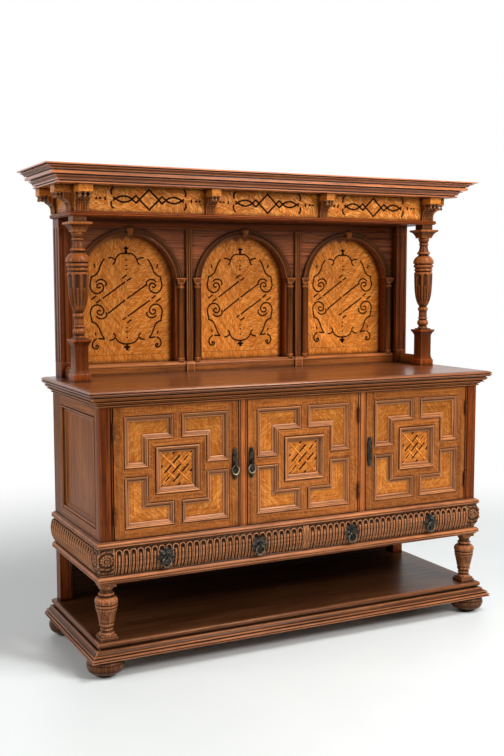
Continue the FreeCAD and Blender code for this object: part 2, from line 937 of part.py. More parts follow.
# Drawers, built on the right and mirrored to the left.
front_x = (size.tongue_width / 2 + drawer_gap, half - block_width - drawer_gap)
front_z = (drawer_floor + drawer_gap, upper_waist - drawer_gap)
pull_z = drawer_floor + size.drawer_opening / 2
front_middle = (front_x[0] + front_x[1]) / 2
pull_places = [front_middle - size.rosette_spacing / 2, front_middle + size.rosette_spacing / 2]
seat_depth = depth + size.rosette_seat
rosette_face = seat_depth + size.rosette_thickness
seats = []
pulls = []
rings = []
for pull_x in pull_places:
    seat = rod(size.rosette_radius + size.seat_clearance, size.rosette_radius, (1, 0, 0), 90)
    seats.append(place(seat, pull_x, at(seat_depth), pull_z))
    disc = rod(size.rosette_radius, size.rosette_thickness, (1, 0, 0), 90)
    pulls.append(place(disc, pull_x, at(seat_depth), pull_z))
    pulls.append(eye(pull_x, rosette_face, pull_z))
    rings.append(hanging_ring(size.drawer_ring, pull_x, rosette_face, pull_z))
drawer_front = padded(
    "YZ_Plane", bowed(at(case_front), at(depth), -1, front_z[0], front_z[1]), front_x[1] - front_x[0]
)
drawer_front = cut(place(drawer_front, x=front_x[0]), group(seats))

box_x = (guide_half + drawer_gap, guide_inner - drawer_gap)
box_low = drawer_floor + size.drawer_run_gap
box_z = (box_low, upper_waist - size.drawer_headroom)
box_back = case_front - size.drawer_box_length
box_inner_x = (box_x[0] + size.drawer_side, box_x[1] - size.drawer_side)
floor_low = box_low + size.drawer_bottom_lift
box_boards = [
    board((box_x[0], box_inner_x[0]), deep(box_back, case_front), box_z),
    board((box_inner_x[1], box_x[1]), deep(box_back, case_front), box_z),
    board(box_inner_x, deep(box_back, box_back + size.drawer_side), box_z),
    board(
        box_inner_x,
        deep(box_back + size.drawer_side, case_front),
        (floor_low, floor_low + size.drawer_bottom),
    ),
]
for side in NAMES_OF_SIDES:
    flip = mirrored if side == "left" else (lambda piece: piece)
    node(f"drawer_{side}_front", flip(drawer_front))
    node(f"drawer_{side}_box", *[flip(piece) for piece in box_boards])
    node(f"drawer_{side}_pulls", *[flip(piece) for piece in pulls])
    for place_name, ring in zip(("inner", "outer"), rings):
        node(f"drawer_{side}_{place_name}_ring", flip(ring))

# Top of the case.
foot_out = size.top_moulding_foot
step_out = size.top_moulding_step
top_rise = size.top_moulding_height
node(
    "top_mouldings",
    *mitred_mouldings(
        half, depth, size.top_moulding_projection, size.frame_thickness, door_head, top_rise,
        (
            (-size.frame_thickness, ZERO, ZERO),
            (foot_out, ZERO, ZERO),
            (foot_out, top_rise * 0.15, -top_rise * 0.06),
            (step_out, top_rise * 0.48, ZERO),
            (step_out, top_rise * 0.62, top_rise * 0.05),
            (size.top_moulding_projection, top_rise, ZERO),
            (-size.frame_thickness, top_rise, ZERO),
        ),
    ),
)
node(
    "top_board",
    moulded_board(
        half + size.top_projection,
        depth + size.top_projection,
        top_bottom,
        size.top_board_thickness,
        0.55,
        0.3,
    ),
)

# Hutch: base rails, posts and the arcade with its panels.
post_inner = hutch_half - size.end_post_width
rail_top = counter + size.hutch_rail_height
arch_rail_low = soffit_bottom - size.arcade_rail_height
bay_width = (post_inner - size.pilaster_width) * 2 / 3
arch_pitch = bay_width + size.pilaster_width
pilaster_x = arch_pitch / 2
jamb_offset = bay_width / 2 - size.impost_width / 2 - size.impost_gap
arch_half = jamb_offset - size.jamb_reveal
inner_half = arch_half + size.arch_moulding_gap
inner_rise = size.arch_rise + size.arch_moulding_gap
outer_half = inner_half + size.arch_moulding_width
outer_rise = inner_rise + size.arch_moulding_crown
spring = arch_rail_low - outer_rise
column_x = hutch_half - size.column_inset
column_depth = hutch_front - size.column_inset
column_y = at(column_depth)
arcade_y = deep(size.panel_thickness, size.arcade_depth)
hutch_block = size.hutch_block / 2
hutch_rail = (counter, rail_top)
block_front_depth = size.hutch_rail_depth + size.hutch_block_projection
side_rail_x = (column_x - size.side_rail_width / 2, column_x + size.side_rail_width / 2)
node(
    "hutch_base_rails",
    board((-post_inner, post_inner), deep(size.panel_thickness, size.hutch_rail_depth), hutch_rail),
    *both_sides(
        board(
            (pilaster_x - hutch_block, pilaster_x + hutch_block),
            deep(size.hutch_rail_depth, block_front_depth),
            hutch_rail,
        ),
        board(side_rail_x, deep(size.end_post_depth, column_depth - size.pedestal_base / 2), hutch_rail),
    ),
)
node(
    "hutch_end_posts",
    *both_sides(board((post_inner, hutch_half), deep(0, size.end_post_depth), (counter, soffit_bottom))),
)
bay_edge = pilaster_x
panel_y = deep(0, size.panel_thickness)
node(
    "arch_panels",
    board((-bay_edge, bay_edge), panel_y, (counter, soffit_bottom)),
    *both_sides(board((bay_edge, post_inner), panel_y, (counter, soffit_bottom))),
)
rail_front = size.arcade_depth + size.arcade_rail_thickness
node(
    "arcade_frame",
    board((-post_inner, post_inner), deep(size.arcade_depth, rail_front), (arch_rail_low, soffit_bottom)),
    *both_sides(
        board((arch_half, arch_pitch - arch_half), arcade_y, (rail_top, spring)),
        board((arch_pitch + arch_half, post_inner), arcade_y, (rail_top, spring)),
    ),
)


def spandrel(middle, left, right):
    points = [
        (left, spring),
        (middle - arch_half, spring, -size.arch_rise),
        (middle + arch_half, spring),
        (right, spring),
        (right, soffit_bottom),
        (left, soffit_bottom),
    ]
    spandrel_board = padded("XZ_Plane", points, size.arcade_depth - size.panel_thickness)
    return place(spandrel_board, y=at(size.panel_thickness))


node(
    "arcade_spandrels",
    spandrel(ZERO, -bay_edge, bay_edge),
    *both_sides(spandrel(arch_pitch, bay_edge, post_inner)),
)
pilaster_half = size.pilaster_width / 2
pilaster_y = deep(size.arcade_depth, size.arcade_depth + size.pilaster_thickness)
node(
    "arcade_pilasters",
    *both_sides(
        board(
            (pilaster_x - pilaster_half, pilaster_x + pilaster_half),
            pilaster_y,
            (rail_top, arch_rail_low),
        )
    ),
)
impost_low = spring - size.impost_height
impost_half = size.impost_width / 2
impost_y = deep(size.arcade_depth, size.arcade_depth + size.impost_thickness)
jambs = []
for jamb_x in (jamb_offset, arch_pitch - jamb_offset, arch_pitch + jamb_offset):
    half_column = rod(size.jamb_radius, impost_low - rail_top, (0, 0, 1), 180)
    half_column.Angle = 180
    jambs.append(place(half_column, jamb_x, at(size.arcade_depth), rail_top))
    jambs.append(board((jamb_x - impost_half, jamb_x + impost_half), impost_y, (impost_low, spring)))
node("arch_jambs", *both_sides(*jambs))

keystone_head_z = spring + outer_rise + size.keystone_rise
keystone_foot_z = keystone_head_z - size.keystone_height
arch_face = size.arcade_depth + size.arch_moulding_thickness


def arch_moulding(middle):
    points = [
        (middle + outer_half, spring, outer_rise),
        (middle - outer_half, spring),
        (middle - inner_half, spring, -inner_rise),
        (middle + inner_half, spring),
    ]
    return place(padded("XZ_Plane", points, size.arch_moulding_thickness), y=at(size.arcade_depth))


def keystone(middle):
    points = [
        (middle - size.keystone_foot / 2, keystone_foot_z),
        (middle + size.keystone_foot / 2, keystone_foot_z),
        (middle + size.keystone_head / 2, keystone_head_z),
        (middle - size.keystone_head / 2, keystone_head_z),
    ]
    return place(padded("XZ_Plane", points, size.keystone_thickness), y=at(arch_face))


node(
    "arch_mouldings",
    arch_moulding(ZERO),
    keystone(ZERO),
    *both_sides(arch_moulding(arch_pitch), keystone(arch_pitch)),
)

# Free columns at the front corners of the hutch.
cap_low = size.pedestal_height - size.column_seat_height - size.pedestal_cap_height
cap_top = size.pedestal_height - size.column_seat_height
slope_top = size.pedestal_base_height + size.pedestal_slope
pedestal_levels = (
    (size.pedestal_base, ZERO, ZERO),
    (size.pedestal_base, size.pedestal_base_height, -size.pedestal_slope * 0.15),
    (size.pedestal_block, slope_top, ZERO),
    (size.pedestal_block, cap_low, -size.pedestal_cap_height * 0.1),
    (size.pedestal_cap, cap_top - size.pedestal_cap_edge, ZERO),
    (size.pedestal_cap, cap_top, ZERO),
    (size.column_seat, cap_top, ZERO),
    (size.column_seat, size.pedestal_height, ZERO),
)
pedestal = square_piece(pedestal_levels, size.pedestal_cap * 2, column_x, column_y, counter)
node("column_pedestals", *both_sides(pedestal))

column_foot = counter + size.pedestal_height
cap_total = size.cap_height + size.cap_block_height
column_head = soffit_bottom - cap_total
column_length = column_head - column_foot
column = turned(COLUMN_TURNING, size.column_radius, column_length, column_x, column_y, column_foot)
node("upper_columns", *both_sides(column))

cap_shoulder = size.cap_height - size.cap_edge
cap_levels = (
    (size.cap_foot, ZERO, ZERO),
    (size.cap_foot, size.cap_foot_height, -size.cap_edge * 0.6),
    (size.cap_width, cap_shoulder, ZERO),
    (size.cap_width, size.cap_height, ZERO),
    (size.cap_block, size.cap_height, ZERO),
    (size.cap_block, cap_total, ZERO),
)
column_cap = square_piece(cap_levels, size.cap_width * 2, column_x, column_y, column_head)
node("column_caps", *both_sides(column_cap))

# Entablature.
node(
    "hutch_soffit",
    moulded_board(
        hutch_half + size.soffit_projection,
        hutch_front + size.soffit_projection,
        soffit_bottom,
        size.soffit_thickness,
        0.45,
        0.3,
    ),
)
frieze_inner = hutch_half - size.frame_thickness
frieze_back = hutch_front - size.frame_thickness
frieze_z = (frieze_bottom, cornice_bottom)
node(
    "frieze_boards",
    board((-hutch_half, hutch_half), deep(frieze_back, hutch_front), frieze_z),
    board((-frieze_inner, frieze_inner), deep(0, size.back_thickness), frieze_z),
    *both_sides(board((frieze_inner, hutch_half), deep(0, frieze_back), frieze_z)),
)


def bracket_profile(face, out):
    """A scrolled bracket from its foot up: fluted foot, hollow, swelling and block."""
    block_low = cornice_bottom - size.bracket_block_height
    foot_top = frieze_bottom + size.bracket_foot_height
    turn_z = (foot_top + block_low * 2) / 3
    hollow = -size.bracket_foot * out
    swelling = size.bracket_foot / 3 * out
    return [
        (face, frieze_bottom),
        (face + size.bracket_foot * out, frieze_bottom),
        (face + size.bracket_foot * out, foot_top, hollow),
        (face + size.bracket_turn * out, turn_z, swelling),
        (face + size.bracket_throat * out, block_low),
        (face + size.bracket_projection * out, block_low),
        (face + size.bracket_projection * out, cornice_bottom),
        (face, cornice_bottom),
    ]


def front_bracket(left, width):
    return place(padded("YZ_Plane", bracket_profile(at(hutch_front), -1), width), x=left)


def side_bracket(near):
    return place(padded("XZ_Plane", bracket_profile(hutch_half, 1), size.bracket_width), y=at(near))


outer_left = hutch_half - size.bracket_inset - size.bracket_width
side_near = hutch_front - size.bracket_inset - size.bracket_width
node(
    "brackets",
    *both_sides(
        front_bracket(outer_left, size.bracket_width),
        front_bracket(pilaster_x - size.middle_bracket_width / 2, size.middle_bracket_width),
        side_bracket(side_near),
        side_bracket(ZERO),
    ),
)
tall = size.cornice_height
node(
    "cornice",
    *mitred_mouldings(
        hutch_half, hutch_front, size.cornice_projection, size.frame_thickness, cornice_bottom, tall,
        (
            (-size.frame_thickness, ZERO, ZERO),
            (size.cornice_foot, ZERO, ZERO),
            (size.cornice_foot, tall * 0.1, -tall * 0.06),
            (size.cornice_step - tall * 0.24, tall * 0.44, ZERO),
            (size.cornice_step, tall * 0.44, ZERO),
            (size.cornice_step, tall * 0.66, -tall * 0.05),
            (size.cornice_projection - tall * 0.14, tall * 0.9, ZERO),
            (size.cornice_projection, tall * 0.9, ZERO),
            (size.cornice_projection, tall, ZERO),
            (-size.frame_thickness, tall, ZERO),
        ),
    ),
)
roof_z = (cornice_bottom, cornice_bottom + size.roof_thickness)
node("hutch_roof", board((-frieze_inner, frieze_inner), deep(0, frieze_back), roof_z))

doc.recompute()
for thing in doc.Objects:
    if "Invalid" in thing.State or "Error" in thing.State:
        raise RuntimeError(f"{thing.Label} failed to rebuild")
os.makedirs("parts", exist_ok=True)
for piece in nodes:
    if piece.Shape.isNull() or not piece.Shape.isValid():
        raise RuntimeError(f"{piece.Label} has a faulty shape")
    piece.Shape.exportStep(f"parts/{piece.Label}.step")
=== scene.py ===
import math

import bmesh
import bpy
from mathutils import Matrix, Vector


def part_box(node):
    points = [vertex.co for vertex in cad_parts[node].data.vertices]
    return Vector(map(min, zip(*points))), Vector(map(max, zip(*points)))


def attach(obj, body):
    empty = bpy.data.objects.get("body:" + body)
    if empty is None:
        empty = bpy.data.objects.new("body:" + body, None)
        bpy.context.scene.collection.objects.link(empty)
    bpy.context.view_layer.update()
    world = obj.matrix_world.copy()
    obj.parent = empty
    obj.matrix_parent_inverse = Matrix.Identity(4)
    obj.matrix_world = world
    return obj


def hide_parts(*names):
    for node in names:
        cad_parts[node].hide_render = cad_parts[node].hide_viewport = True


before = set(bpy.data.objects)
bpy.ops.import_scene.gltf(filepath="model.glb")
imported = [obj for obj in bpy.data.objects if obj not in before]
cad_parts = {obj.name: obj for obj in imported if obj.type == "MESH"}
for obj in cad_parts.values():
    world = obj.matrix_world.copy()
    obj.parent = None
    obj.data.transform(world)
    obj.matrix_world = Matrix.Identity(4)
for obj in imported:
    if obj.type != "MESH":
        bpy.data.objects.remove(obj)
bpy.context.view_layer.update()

# Hutch cabinet of carved and inlaid oak. Sizes are in millimetres: x to the right of the middle,
# d forward of the wall, z up from the floor.


# Bun feet. Four squat feet turned from solid oak and stained dark, dowelled up into the corners of
# the plinth. Every wooden piece below is cut, grained and polished with the same few shop steps.
boards_cut = 0
wall = 307.5


def back(d):
    """The y of a plane this far forward of the wall."""
    return wall - d


def stain(red, green, blue):
    """A colour as the eye sees it, made ready for a finish."""
    light = [c / 255 / 12.92 if c < 11 else ((c / 255 + 0.055) / 1.055) ** 2.4 for c in (red, green, blue)]
    return (*light, 1.0)


def coat(tree, kind, inputs, **settings):
    """One step of a finish: a shader node with its inputs set or joined."""
    made = tree.nodes.new("ShaderNode" + kind)
    for key, value in settings.items():
        setattr(made, key, value)
    for socket, value in inputs.items():
        if isinstance(value, bpy.types.NodeSocket):
            tree.links.new(value, made.inputs[socket])
        else:
            made.inputs[socket].default_value = value
    return made


def new_finish(name):
    """An empty finish with its node tree and its surface."""
    finish = bpy.data.materials.new(name)
    finish.use_nodes = True
    return finish, finish.node_tree, finish.node_tree.nodes["Principled BSDF"]


def reckoned(tree, kind, *values):
    """A sum worked out for each point of a finish."""
    return coat(tree, "Math", dict(enumerate(values)), operation=kind).outputs[0]


def spread(tree, value, low, high, to_low, to_high, **settings):
    """A value between two limits, spread between two others."""
    inputs = {"Value": value, 1: low, 2: high, 3: to_low, 4: to_high}
    return coat(tree, "MapRange", inputs, **settings).outputs["Result"]


def blended(tree, factor, below, above):
    """Two colours mixed, none to all of the second."""
    return coat(tree, "Mix", {"Factor": factor, 6: below, 7: above}, data_type="RGBA").outputs[2]


def polished_wood(name, dark, light, pore, rough=0.36, fleck=None, rays=0.4, turn=None, worn=0.35, gloss=0.1):
    """Oiled and polished wood: streaks, open pores, cloudy stain, grime and painted shade in corners, wear
    and painted highlight on edges.

    The figure lies on the grain of each board, or on a turn of the whole piece for a plain hidden board.
    A fleck colour adds the bright slanting rays of quartered oak, more or less strong; the worn setting is
    how far the edges are lightened, by wear and as a painted highlight, gloss how much of the last coat of
    polish is left. Faces that look up are painted lighter and faces that look down darker, as painted light
    from above.
    """
    finish, tree, body = new_finish(name)
    dark, light, pore = stain(*dark), stain(*light), stain(*pore)
    if turn is None:
        lie = coat(tree, "Attribute", {}, attribute_name="grain").outputs["Vector"]
        tone = coat(tree, "Attribute", {}, attribute_name="tone").outputs["Fac"]
    else:
        place = coat(tree, "TexCoord", {}).outputs["Object"]
        lie = coat(tree, "Mapping", {"Vector": place, "Rotation": turn}).outputs["Vector"]
        tone = 0.0

    def figure(stretch, detail, wander=0.0):
        drawn = coat(tree, "VectorMath", {0: lie, 1: stretch}, operation="MULTIPLY").outputs["Vector"]
        inputs = {"Vector": drawn, "Scale": 1.0, "Detail": detail, "Roughness": 0.6, "Distortion": wander}
        return coat(tree, "TexNoise", inputs).outputs["Fac"]

    streak = figure((2.4, 150.0, 150.0), 6.0, 0.6)
    pores = figure((18.0, 420.0, 420.0), 2.0)
    cloud = figure((3.0, 14.0, 14.0), 3.0)
    colour = blended(tree, spread(tree, streak, 0.37, 0.63, 0.0, 1.0), dark, light)
    colour = blended(tree, spread(tree, pores, 0.5, 0.66, 0.0, 0.6), colour, pore)
    if fleck is not None:
        slant = coat(tree, "Mapping", {"Vector": lie, "Rotation": (0, 0, 0.8)}).outputs["Vector"]
        long_rays = coat(tree, "VectorMath", {0: slant, 1: (24.0, 95.0, 60.0)}, operation="MULTIPLY")
        inputs = {"Vector": long_rays.outputs["Vector"], "Scale": 1.0, "Detail": 2.5, "Distortion": 0.8}
        flash = coat(tree, "TexNoise", inputs).outputs["Fac"]
        ripple = reckoned(tree, "SINE", reckoned(tree, "MULTIPLY", flash, 24.0))
        colour = blended(tree, spread(tree, ripple, 0.2, 0.95, 0.0, rays), colour, stain(*fleck))
    shade = reckoned(tree, "MULTIPLY_ADD", tone, 0.5, 1.0)
    shade = reckoned(tree, "MULTIPLY", shade, spread(tree, cloud, 0.3, 0.7, 0.8, 1.2))
    # Painted light from above: faces that look up are made lighter, faces that look down darker.
    lean = coat(tree, "SeparateXYZ", {0: coat(tree, "NewGeometry", {}).outputs["Normal"]}).outputs["Z"]
    shade = reckoned(tree, "MULTIPLY", shade, spread(tree, lean, -0.75, 0.75, 0.66, 1.34))
    colour = coat(tree, "HueSaturation", {"Value": shade, "Color": colour}).outputs["Color"]
    # Grime and painted shade: the colour darkens where the occlusion finds corners and recesses.
    corner = coat(tree, "AmbientOcclusion", {"Distance": 0.017}, samples=6).outputs["AO"]
    grime_and_shade = tuple(0.22 * c for c in pore[:3]) + (1.0,)
    colour = blended(tree, spread(tree, corner, 0.48, 0.96, 0.97, 0.0), colour, grime_and_shade)
    # Edges lighten where the short inside occlusion finds an arris: partly wear, partly a painted highlight.
    arris = coat(tree, "AmbientOcclusion", {"Distance": 0.0036}, samples=4, inside=True).outputs["AO"]
    rubbed_and_painted_light = tuple(min(1.0, 1.5 * c + 0.05) for c in light[:3]) + (1.0,)
    colour = blended(tree, spread(tree, arris, 0.45, 0.85, worn, 0.0), colour, rubbed_and_painted_light)
    tree.links.new(colour, body.inputs["Base Color"])
    tree.links.new(spread(tree, streak, 0.3, 0.7, rough + 0.07, rough - 0.05), body.inputs["Roughness"])
    height = reckoned(tree, "MULTIPLY_ADD", pores, -0.6, streak)
    relief = coat(tree, "Bump", {"Strength": 0.22, "Distance": 0.0008, "Height": height})
    tree.links.new(relief.outputs["Normal"], body.inputs["Normal"])
    body.inputs["Coat Weight"].default_value = gloss
    body.inputs["Coat Roughness"].default_value = 0.2
    body.inputs["Specular IOR Level"].default_value = 0.1
    body.inputs["Specular Tint"].default_value = (1.0, 0.56, 0.3, 1.0)
    return finish


def grained(board, way, tone=0.0):
    """Marks on a board where it lay in its log, along its grain, and its tone: how dark it took the stain,
    with any painted light and shade a rule gives it.
    """
    global boards_cut
    boards_cut += 1
    lie = board.verts.layers.float_vector.new("grain")
    shade = board.verts.layers.float.new("tone")
    start = Vector((boards_cut * 0.731 % 5.0, boards_cut * 0.377 % 3.0, boards_cut * 0.519 % 3.0))
    first = None if callable(way) else "xyz".find(way)
    for v in board.verts:
        place = way(v.co) if first is None else [v.co[first - k] for k in (0, 2, 1)]
        v[lie] = Vector(place) / 1000 + start
        v[shade] = tone(v.co) if callable(tone) else tone
    return board


def toned(board, tones):
    """Gives each point of a grained board a tone of its own."""
    shade = board.verts.layers.float["tone"]
    for v, tone in zip(board.verts, tones):
        v[shade] = tone
    return board


def fitted(name, boards, finish, *nodes, slot="stained_oak", body="case"):
    """Joins boards into one piece in metres, polishes it and fixes it to its body in place of plain nodes."""
    whole = bmesh.new()
    for board in boards:
        loose = bpy.data.meshes.new("loose")
        board.to_mesh(loose)
        board.free()
        whole.from_mesh(loose)
        bpy.data.meshes.remove(loose)
    bmesh.ops.scale(whole, vec=(0.001, 0.001, 0.001), verts=whole.verts)
    mesh = bpy.data.meshes.new(name)
    whole.to_mesh(mesh)
    whole.free()
    mesh.shade_smooth()
    mesh.set_sharp_from_angle(angle=math.radians(21))
    mesh.materials.append(finish)
    piece = bpy.data.objects.new(name, mesh)
    bpy.context.scene.collection.objects.link(piece)
    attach(piece, body)
    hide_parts(*nodes)


def shaped(points, ease=1.0, closed=True):
    """An outline from corner points (out, up); a third number hollows (+) or rounds (-) the next stretch."""
    outline = []
    count = len(points)
    for i, point in enumerate(points):
        here, after, before = (Vector(points[j % count][:2]) for j in (i, i + 1, i - 1))
        run_in, run_out = here - before, after - here
        if (not closed and i in (0, count - 1)) or min(run_in.length, run_out.length) < 2.2 * ease:
            outline.append(here)
        else:
            outline += [here - run_in.normalized() * ease, here + run_out.normalized() * ease]
        if len(point) > 2:
            side = Vector((-run_out.y, run_out.x)).normalized() * 4 * point[2]
            outline += [here.lerp(after, t / 8) + side * (t / 8) * (1 - t / 8) for t in range(1, 8)]
    return outline


def turned(outline, x, d, steps=40):
    """A piece spun on the lathe from an outline of (radius, height)."""
    bm = bmesh.new()
    points = [bm.verts.new((r, 0, z)) for r, z in outline]
    edges = [bm.edges.new(pair) for pair in zip(points, points[1:])]
    bmesh.ops.spin(
        bm, geom=points + edges, axis=(0, 0, 1), cent=(0, 0, 0), angle=math.tau, steps=steps, use_merge=True
    )
    bmesh.ops.remove_doubles(bm, verts=bm.verts, dist=0.005)
    bmesh.ops.recalc_face_normals(bm, faces=bm.faces)
    bmesh.ops.translate(bm, vec=(x, back(d), 0), verts=bm.verts)
    return bm


def rubbed_and_painted_light(outline):
    """How light each point of an outline is painted: proud edges go light, as wear and a painted highlight;
    quirks go dark as painted shade.
    """
    tones = []
    for i, here in enumerate(outline):
        ends = []
        for step in (-1, 1):
            spot, left, k = here, 6.0, i
            while left > 0 and 0 <= k + step < len(outline):
                run = outline[k + step] - outline[k]
                reach = max(run.length, 0.001)
                spot = outline[k] + run * min(1.0, left / reach)
                left -= reach
                k += step
            ends.append(spot)
        chord = ends[1] - ends[0]
        proud = (here - (ends[0] + ends[1]) / 2).dot(Vector((chord.y, -chord.x)).normalized())
        tones.append(max(-1.3, min(1.0, 0.65 * proud)))
    return tones


def worn(rings, wear, tone):
    """The wear and painted light and shade of each ring of points, for the board that is drawn through them.
    """
    spots = [(point, tone + rub) for ring, rub in zip(rings, wear) for point in ring]
    return lambda p: min(spots, key=lambda spot: (spot[0] - p).length_squared)[1]


def lathe_worn_and_painted_light(outline, x, d, tone):
    """The same wear and painted light and shade on a turned piece, from the radius and height of each place
    on it.
    """
    wear, known = rubbed_and_painted_light(outline), {}

    def rule(p):
        spot = (round(math.hypot(p.x - x, p.y - back(d)), 1), round(p.z, 1))
        if spot not in known:
            near = min(range(len(outline)), key=lambda k: (outline[k] - Vector(spot)).length_squared)
            known[spot] = tone + wear[near]
        return known[spot]

    return rule


stained_oak = polished_wood("stained_oak", (80, 31, 7), (138, 65, 20), (40, 14, 4), 0.3)
bright_oak = polished_wood("bright_oak", (96, 48, 18), (150, 86, 38), (56, 26, 9), 0.3, worn=0.6, gloss=0.08)
dull_oak = polished_wood("dull_oak", (96, 53, 29), (150, 94, 58), (56, 29, 14), 0.32, worn=0.6, gloss=0.12)
foot = shaped(
    [
        (0, 0), (35, 0), (37, 10), (50, 12.5, -3.0), (66, 30, -2.0), (66, 50, -1.5), (60, 62), (60, 66),
        (0, 66),
    ],
    1.2, False,
)
feet = [
    grained(turned(foot, x, d), "z", lathe_worn_and_painted_light(foot, x, d, -1.45)) for x in (-797, 797) for d in (547, 68)
]
fitted("feet", feet, dull_oak, "bun_feet")


# Plinth. A frame of plain oak rails on the feet, hidden by three lengths of hollow moulding mitred
# round the front and the two sides and glued to it.
def built_up(rings):
    """A closed solid that starts as a flat outline and is drawn out to each next one."""
    bm = bmesh.new()
    cap = bm.faces.new([bm.verts.new(point) for point in rings[0]])
    for now, then in zip(rings, rings[1:]):
        made = bmesh.ops.extrude_face_region(bm, geom=[cap])["geom"]
        if now is not rings[0]:
            bmesh.ops.delete(bm, geom=[cap], context="FACES_ONLY")
        cap = next(part for part in made if isinstance(part, bmesh.types.BMFace))
        for v in cap.verts:
            nearest = min(range(len(now)), key=lambda i: (now[i] - v.co).length_squared)
            v.co = then[nearest]
    bmesh.ops.recalc_face_normals(bm, faces=bm.faces)
    return bm


def plan(x, d, z):
    return Vector((x, back(d), z))


def elevation(x, z, d):
    return plan(x, d, z)


def sawn(outline, ends, place, way, tone):
    """A board sawn to an outline, from one end to the other; place sets (across, along, end) in its spot."""
    return grained(built_up([[place(u, v, end) for u, v in outline] for end in ends]), way, tone)


def mitred(path, profile, place, tone=0.0, closed=False, wear=True):
    """Lengths of one moulding along a path of square corners, sawn to meet at the mitres."""
    path, profile = ([Vector(point) for point in points] for points in (path, profile))
    rub_and_light_tones = rubbed_and_painted_light(profile) if wear else [0.0] * len(profile)
    count = len(path)

    def side(i):
        run = (path[(i + 1) % count] - path[i % count]).normalized()
        return Vector((-run.y, run.x))

    rings = []
    for i in range(count):
        lean = Vector((0, 0))
        if closed or i > 0:
            lean += side(i - 1)
        if closed or i < count - 1:
            lean += side(i)
        rings.append([place(*(path[i] + out * lean), up) for out, up in profile])
    lengths = []
    for i in range(count if closed else count - 1):
        start, end = rings[i], rings[(i + 1) % count]
        run = end[0] - start[0]
        way = max("xyz", key=lambda a: abs(getattr(run, a)))
        lengths.append(grained(built_up((start, end)), way, worn(list(zip(start, end)), rub_and_light_tones, tone)))
    return lengths


def round_body(half, depth):
    return [(-half, 0), (-half, depth), (half, depth), (half, 0)]


case_half, case_depth = 814, 564
plinth = [
    (-30, 66), (49, 66), (51, 67), (51, 70.2), (46.5, 70.8), (46.5, 73.2), (50.8, 73.8, -1.8), (45.6, 80.4),
    (39, 81), (39, 84), (44.8, 84.6), (44.8, 88), (42.2, 88.6, 3.2), (28.6, 98), (28.6, 101), (25, 102.2),
    (14, 103), (14, 108), (-30, 108),
]
plinth_lengths = mitred(round_body(case_half, case_depth), shaped(plinth, 0.5), plan, -0.3)
fitted("plinth_moulding", plinth_lengths, dull_oak, "plinth_mouldings")

plain_oak = polished_wood(
    "plain_oak", (104, 74, 48), (150, 112, 76), (66, 42, 26), 0.55, turn=(0, 0, 0)
)
plain_oak_upright = polished_wood(
    "plain_oak_upright", (92, 64, 42), (134, 98, 66), (60, 38, 24), 0.55, turn=(0, math.pi / 2, 0)
)
plain_oak_deep = polished_wood(
    "plain_oak_deep", (112, 82, 54), (158, 120, 82), (70, 46, 29), 0.55, turn=(0, 0, math.pi / 2)
)


def left_plain(finish, *nodes):
    """Hidden boards stay as they were cut and only get their finish."""
    for name in nodes:
        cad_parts[name].data.materials.clear()
        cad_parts[name].data.materials.append(finish)


left_plain(plain_oak, "plinth_frame")


# Lower shelf. One wide oak board on the plinth, its edge rounded over on three sides, stained very
# dark and polished; the dark tone also stands in as painted shade under the case.
def moulded_board(half, depth, bottom, edge, tone):
    """A board with a worked edge on three sides; the edge is a list of (out, up)."""
    rings = []
    for out, up in edge:
        x, y, z = half + out, back(depth + out), bottom + up
        rings.append([Vector(p) for p in ((-x, back(0), z), (x, back(0), z), (x, y, z), (-x, y, z))])
    return grained(built_up(rings), "x", worn(rings, rubbed_and_painted_light(edge), tone))


shelf_edge = shaped([(-8, 0), (-4.5, 0), (0, 4.5), (0, 9.5, -2.6), (-8, 18), (-20, 18)], 0.8, False)
shelf = moulded_board(836, 586, 108, shelf_edge, -1.5)
fitted("lower_shelf", [shelf], dull_oak, "shelf_board")


# Balusters and rear posts. Two turned oak balusters carry the front corners of the case, two square
# posts the back corners; all are dowelled into the shelf and the waist board.
def sawn_block(size, middle, ease):
    """A block of wood with its edges eased."""
    bm = bmesh.new()
    bmesh.ops.create_cube(bm, size=1)
    bmesh.ops.scale(bm, vec=size, verts=bm.verts)
    bmesh.ops.translate(bm, vec=middle, verts=bm.verts)
    bmesh.ops.bevel(bm, geom=bm.edges[:], offset=ease, segments=2, profile=0.5, affect="EDGES", material=-1)
    return bm


def plank(x, d, z, way, tone=0.0, ease=1.2):
    """A planed board between two x, two depths and two heights, its edges eased."""
    size = [abs(ends[1] - ends[0]) for ends in (x, d, z)]
    return grained(sawn_block(size, (sum(x) / 2, back(sum(d) / 2), sum(z) / 2), ease), way, tone)


def square_block(width, x, d, z):
    return plank((x - width / 2, x + width / 2), (d - width / 2, d + width / 2), z, "z")


turned_oak = polished_wood(
    "turned_oak", (104, 53, 22), (144, 80, 37), (72, 35, 13), 0.26, worn=0.55, gloss=0.16,
)
baluster = [
    (0, 144), (26, 144), (27.6, 147), (26, 151), (22.2, 153.4), (21.2, 156), (21.2, 160), (23.6, 162),
    (23.6, 164), (22, 166), (22, 172), (24.8, 174.5), (26.8, 178), (26.8, 183), (24.2, 186), (24.2, 188),
    (27.5, 189.6), (30.4, 205), (34, 222), (36.9, 233), (38.4, 239), (35.6, 240.5), (35.6, 242.8),
    (38.8, 244.4), (39.8, 248), (39, 251.6), (36.2, 253), (36.2, 255.2), (40.2, 257), (41.5, 263), (41, 269),
    (38, 275), (32, 279.5), (27, 281.5), (23.6, 282.5), (23.6, 284.8), (27.2, 286.5), (28, 290),
    (27.2, 293.6), (22.4, 296), (21.6, 299), (21.6, 304), (24, 308), (27.4, 312), (27.8, 315), (26, 318),
    (26, 319), (0, 319),
]
baluster_d = 537
balusters = []
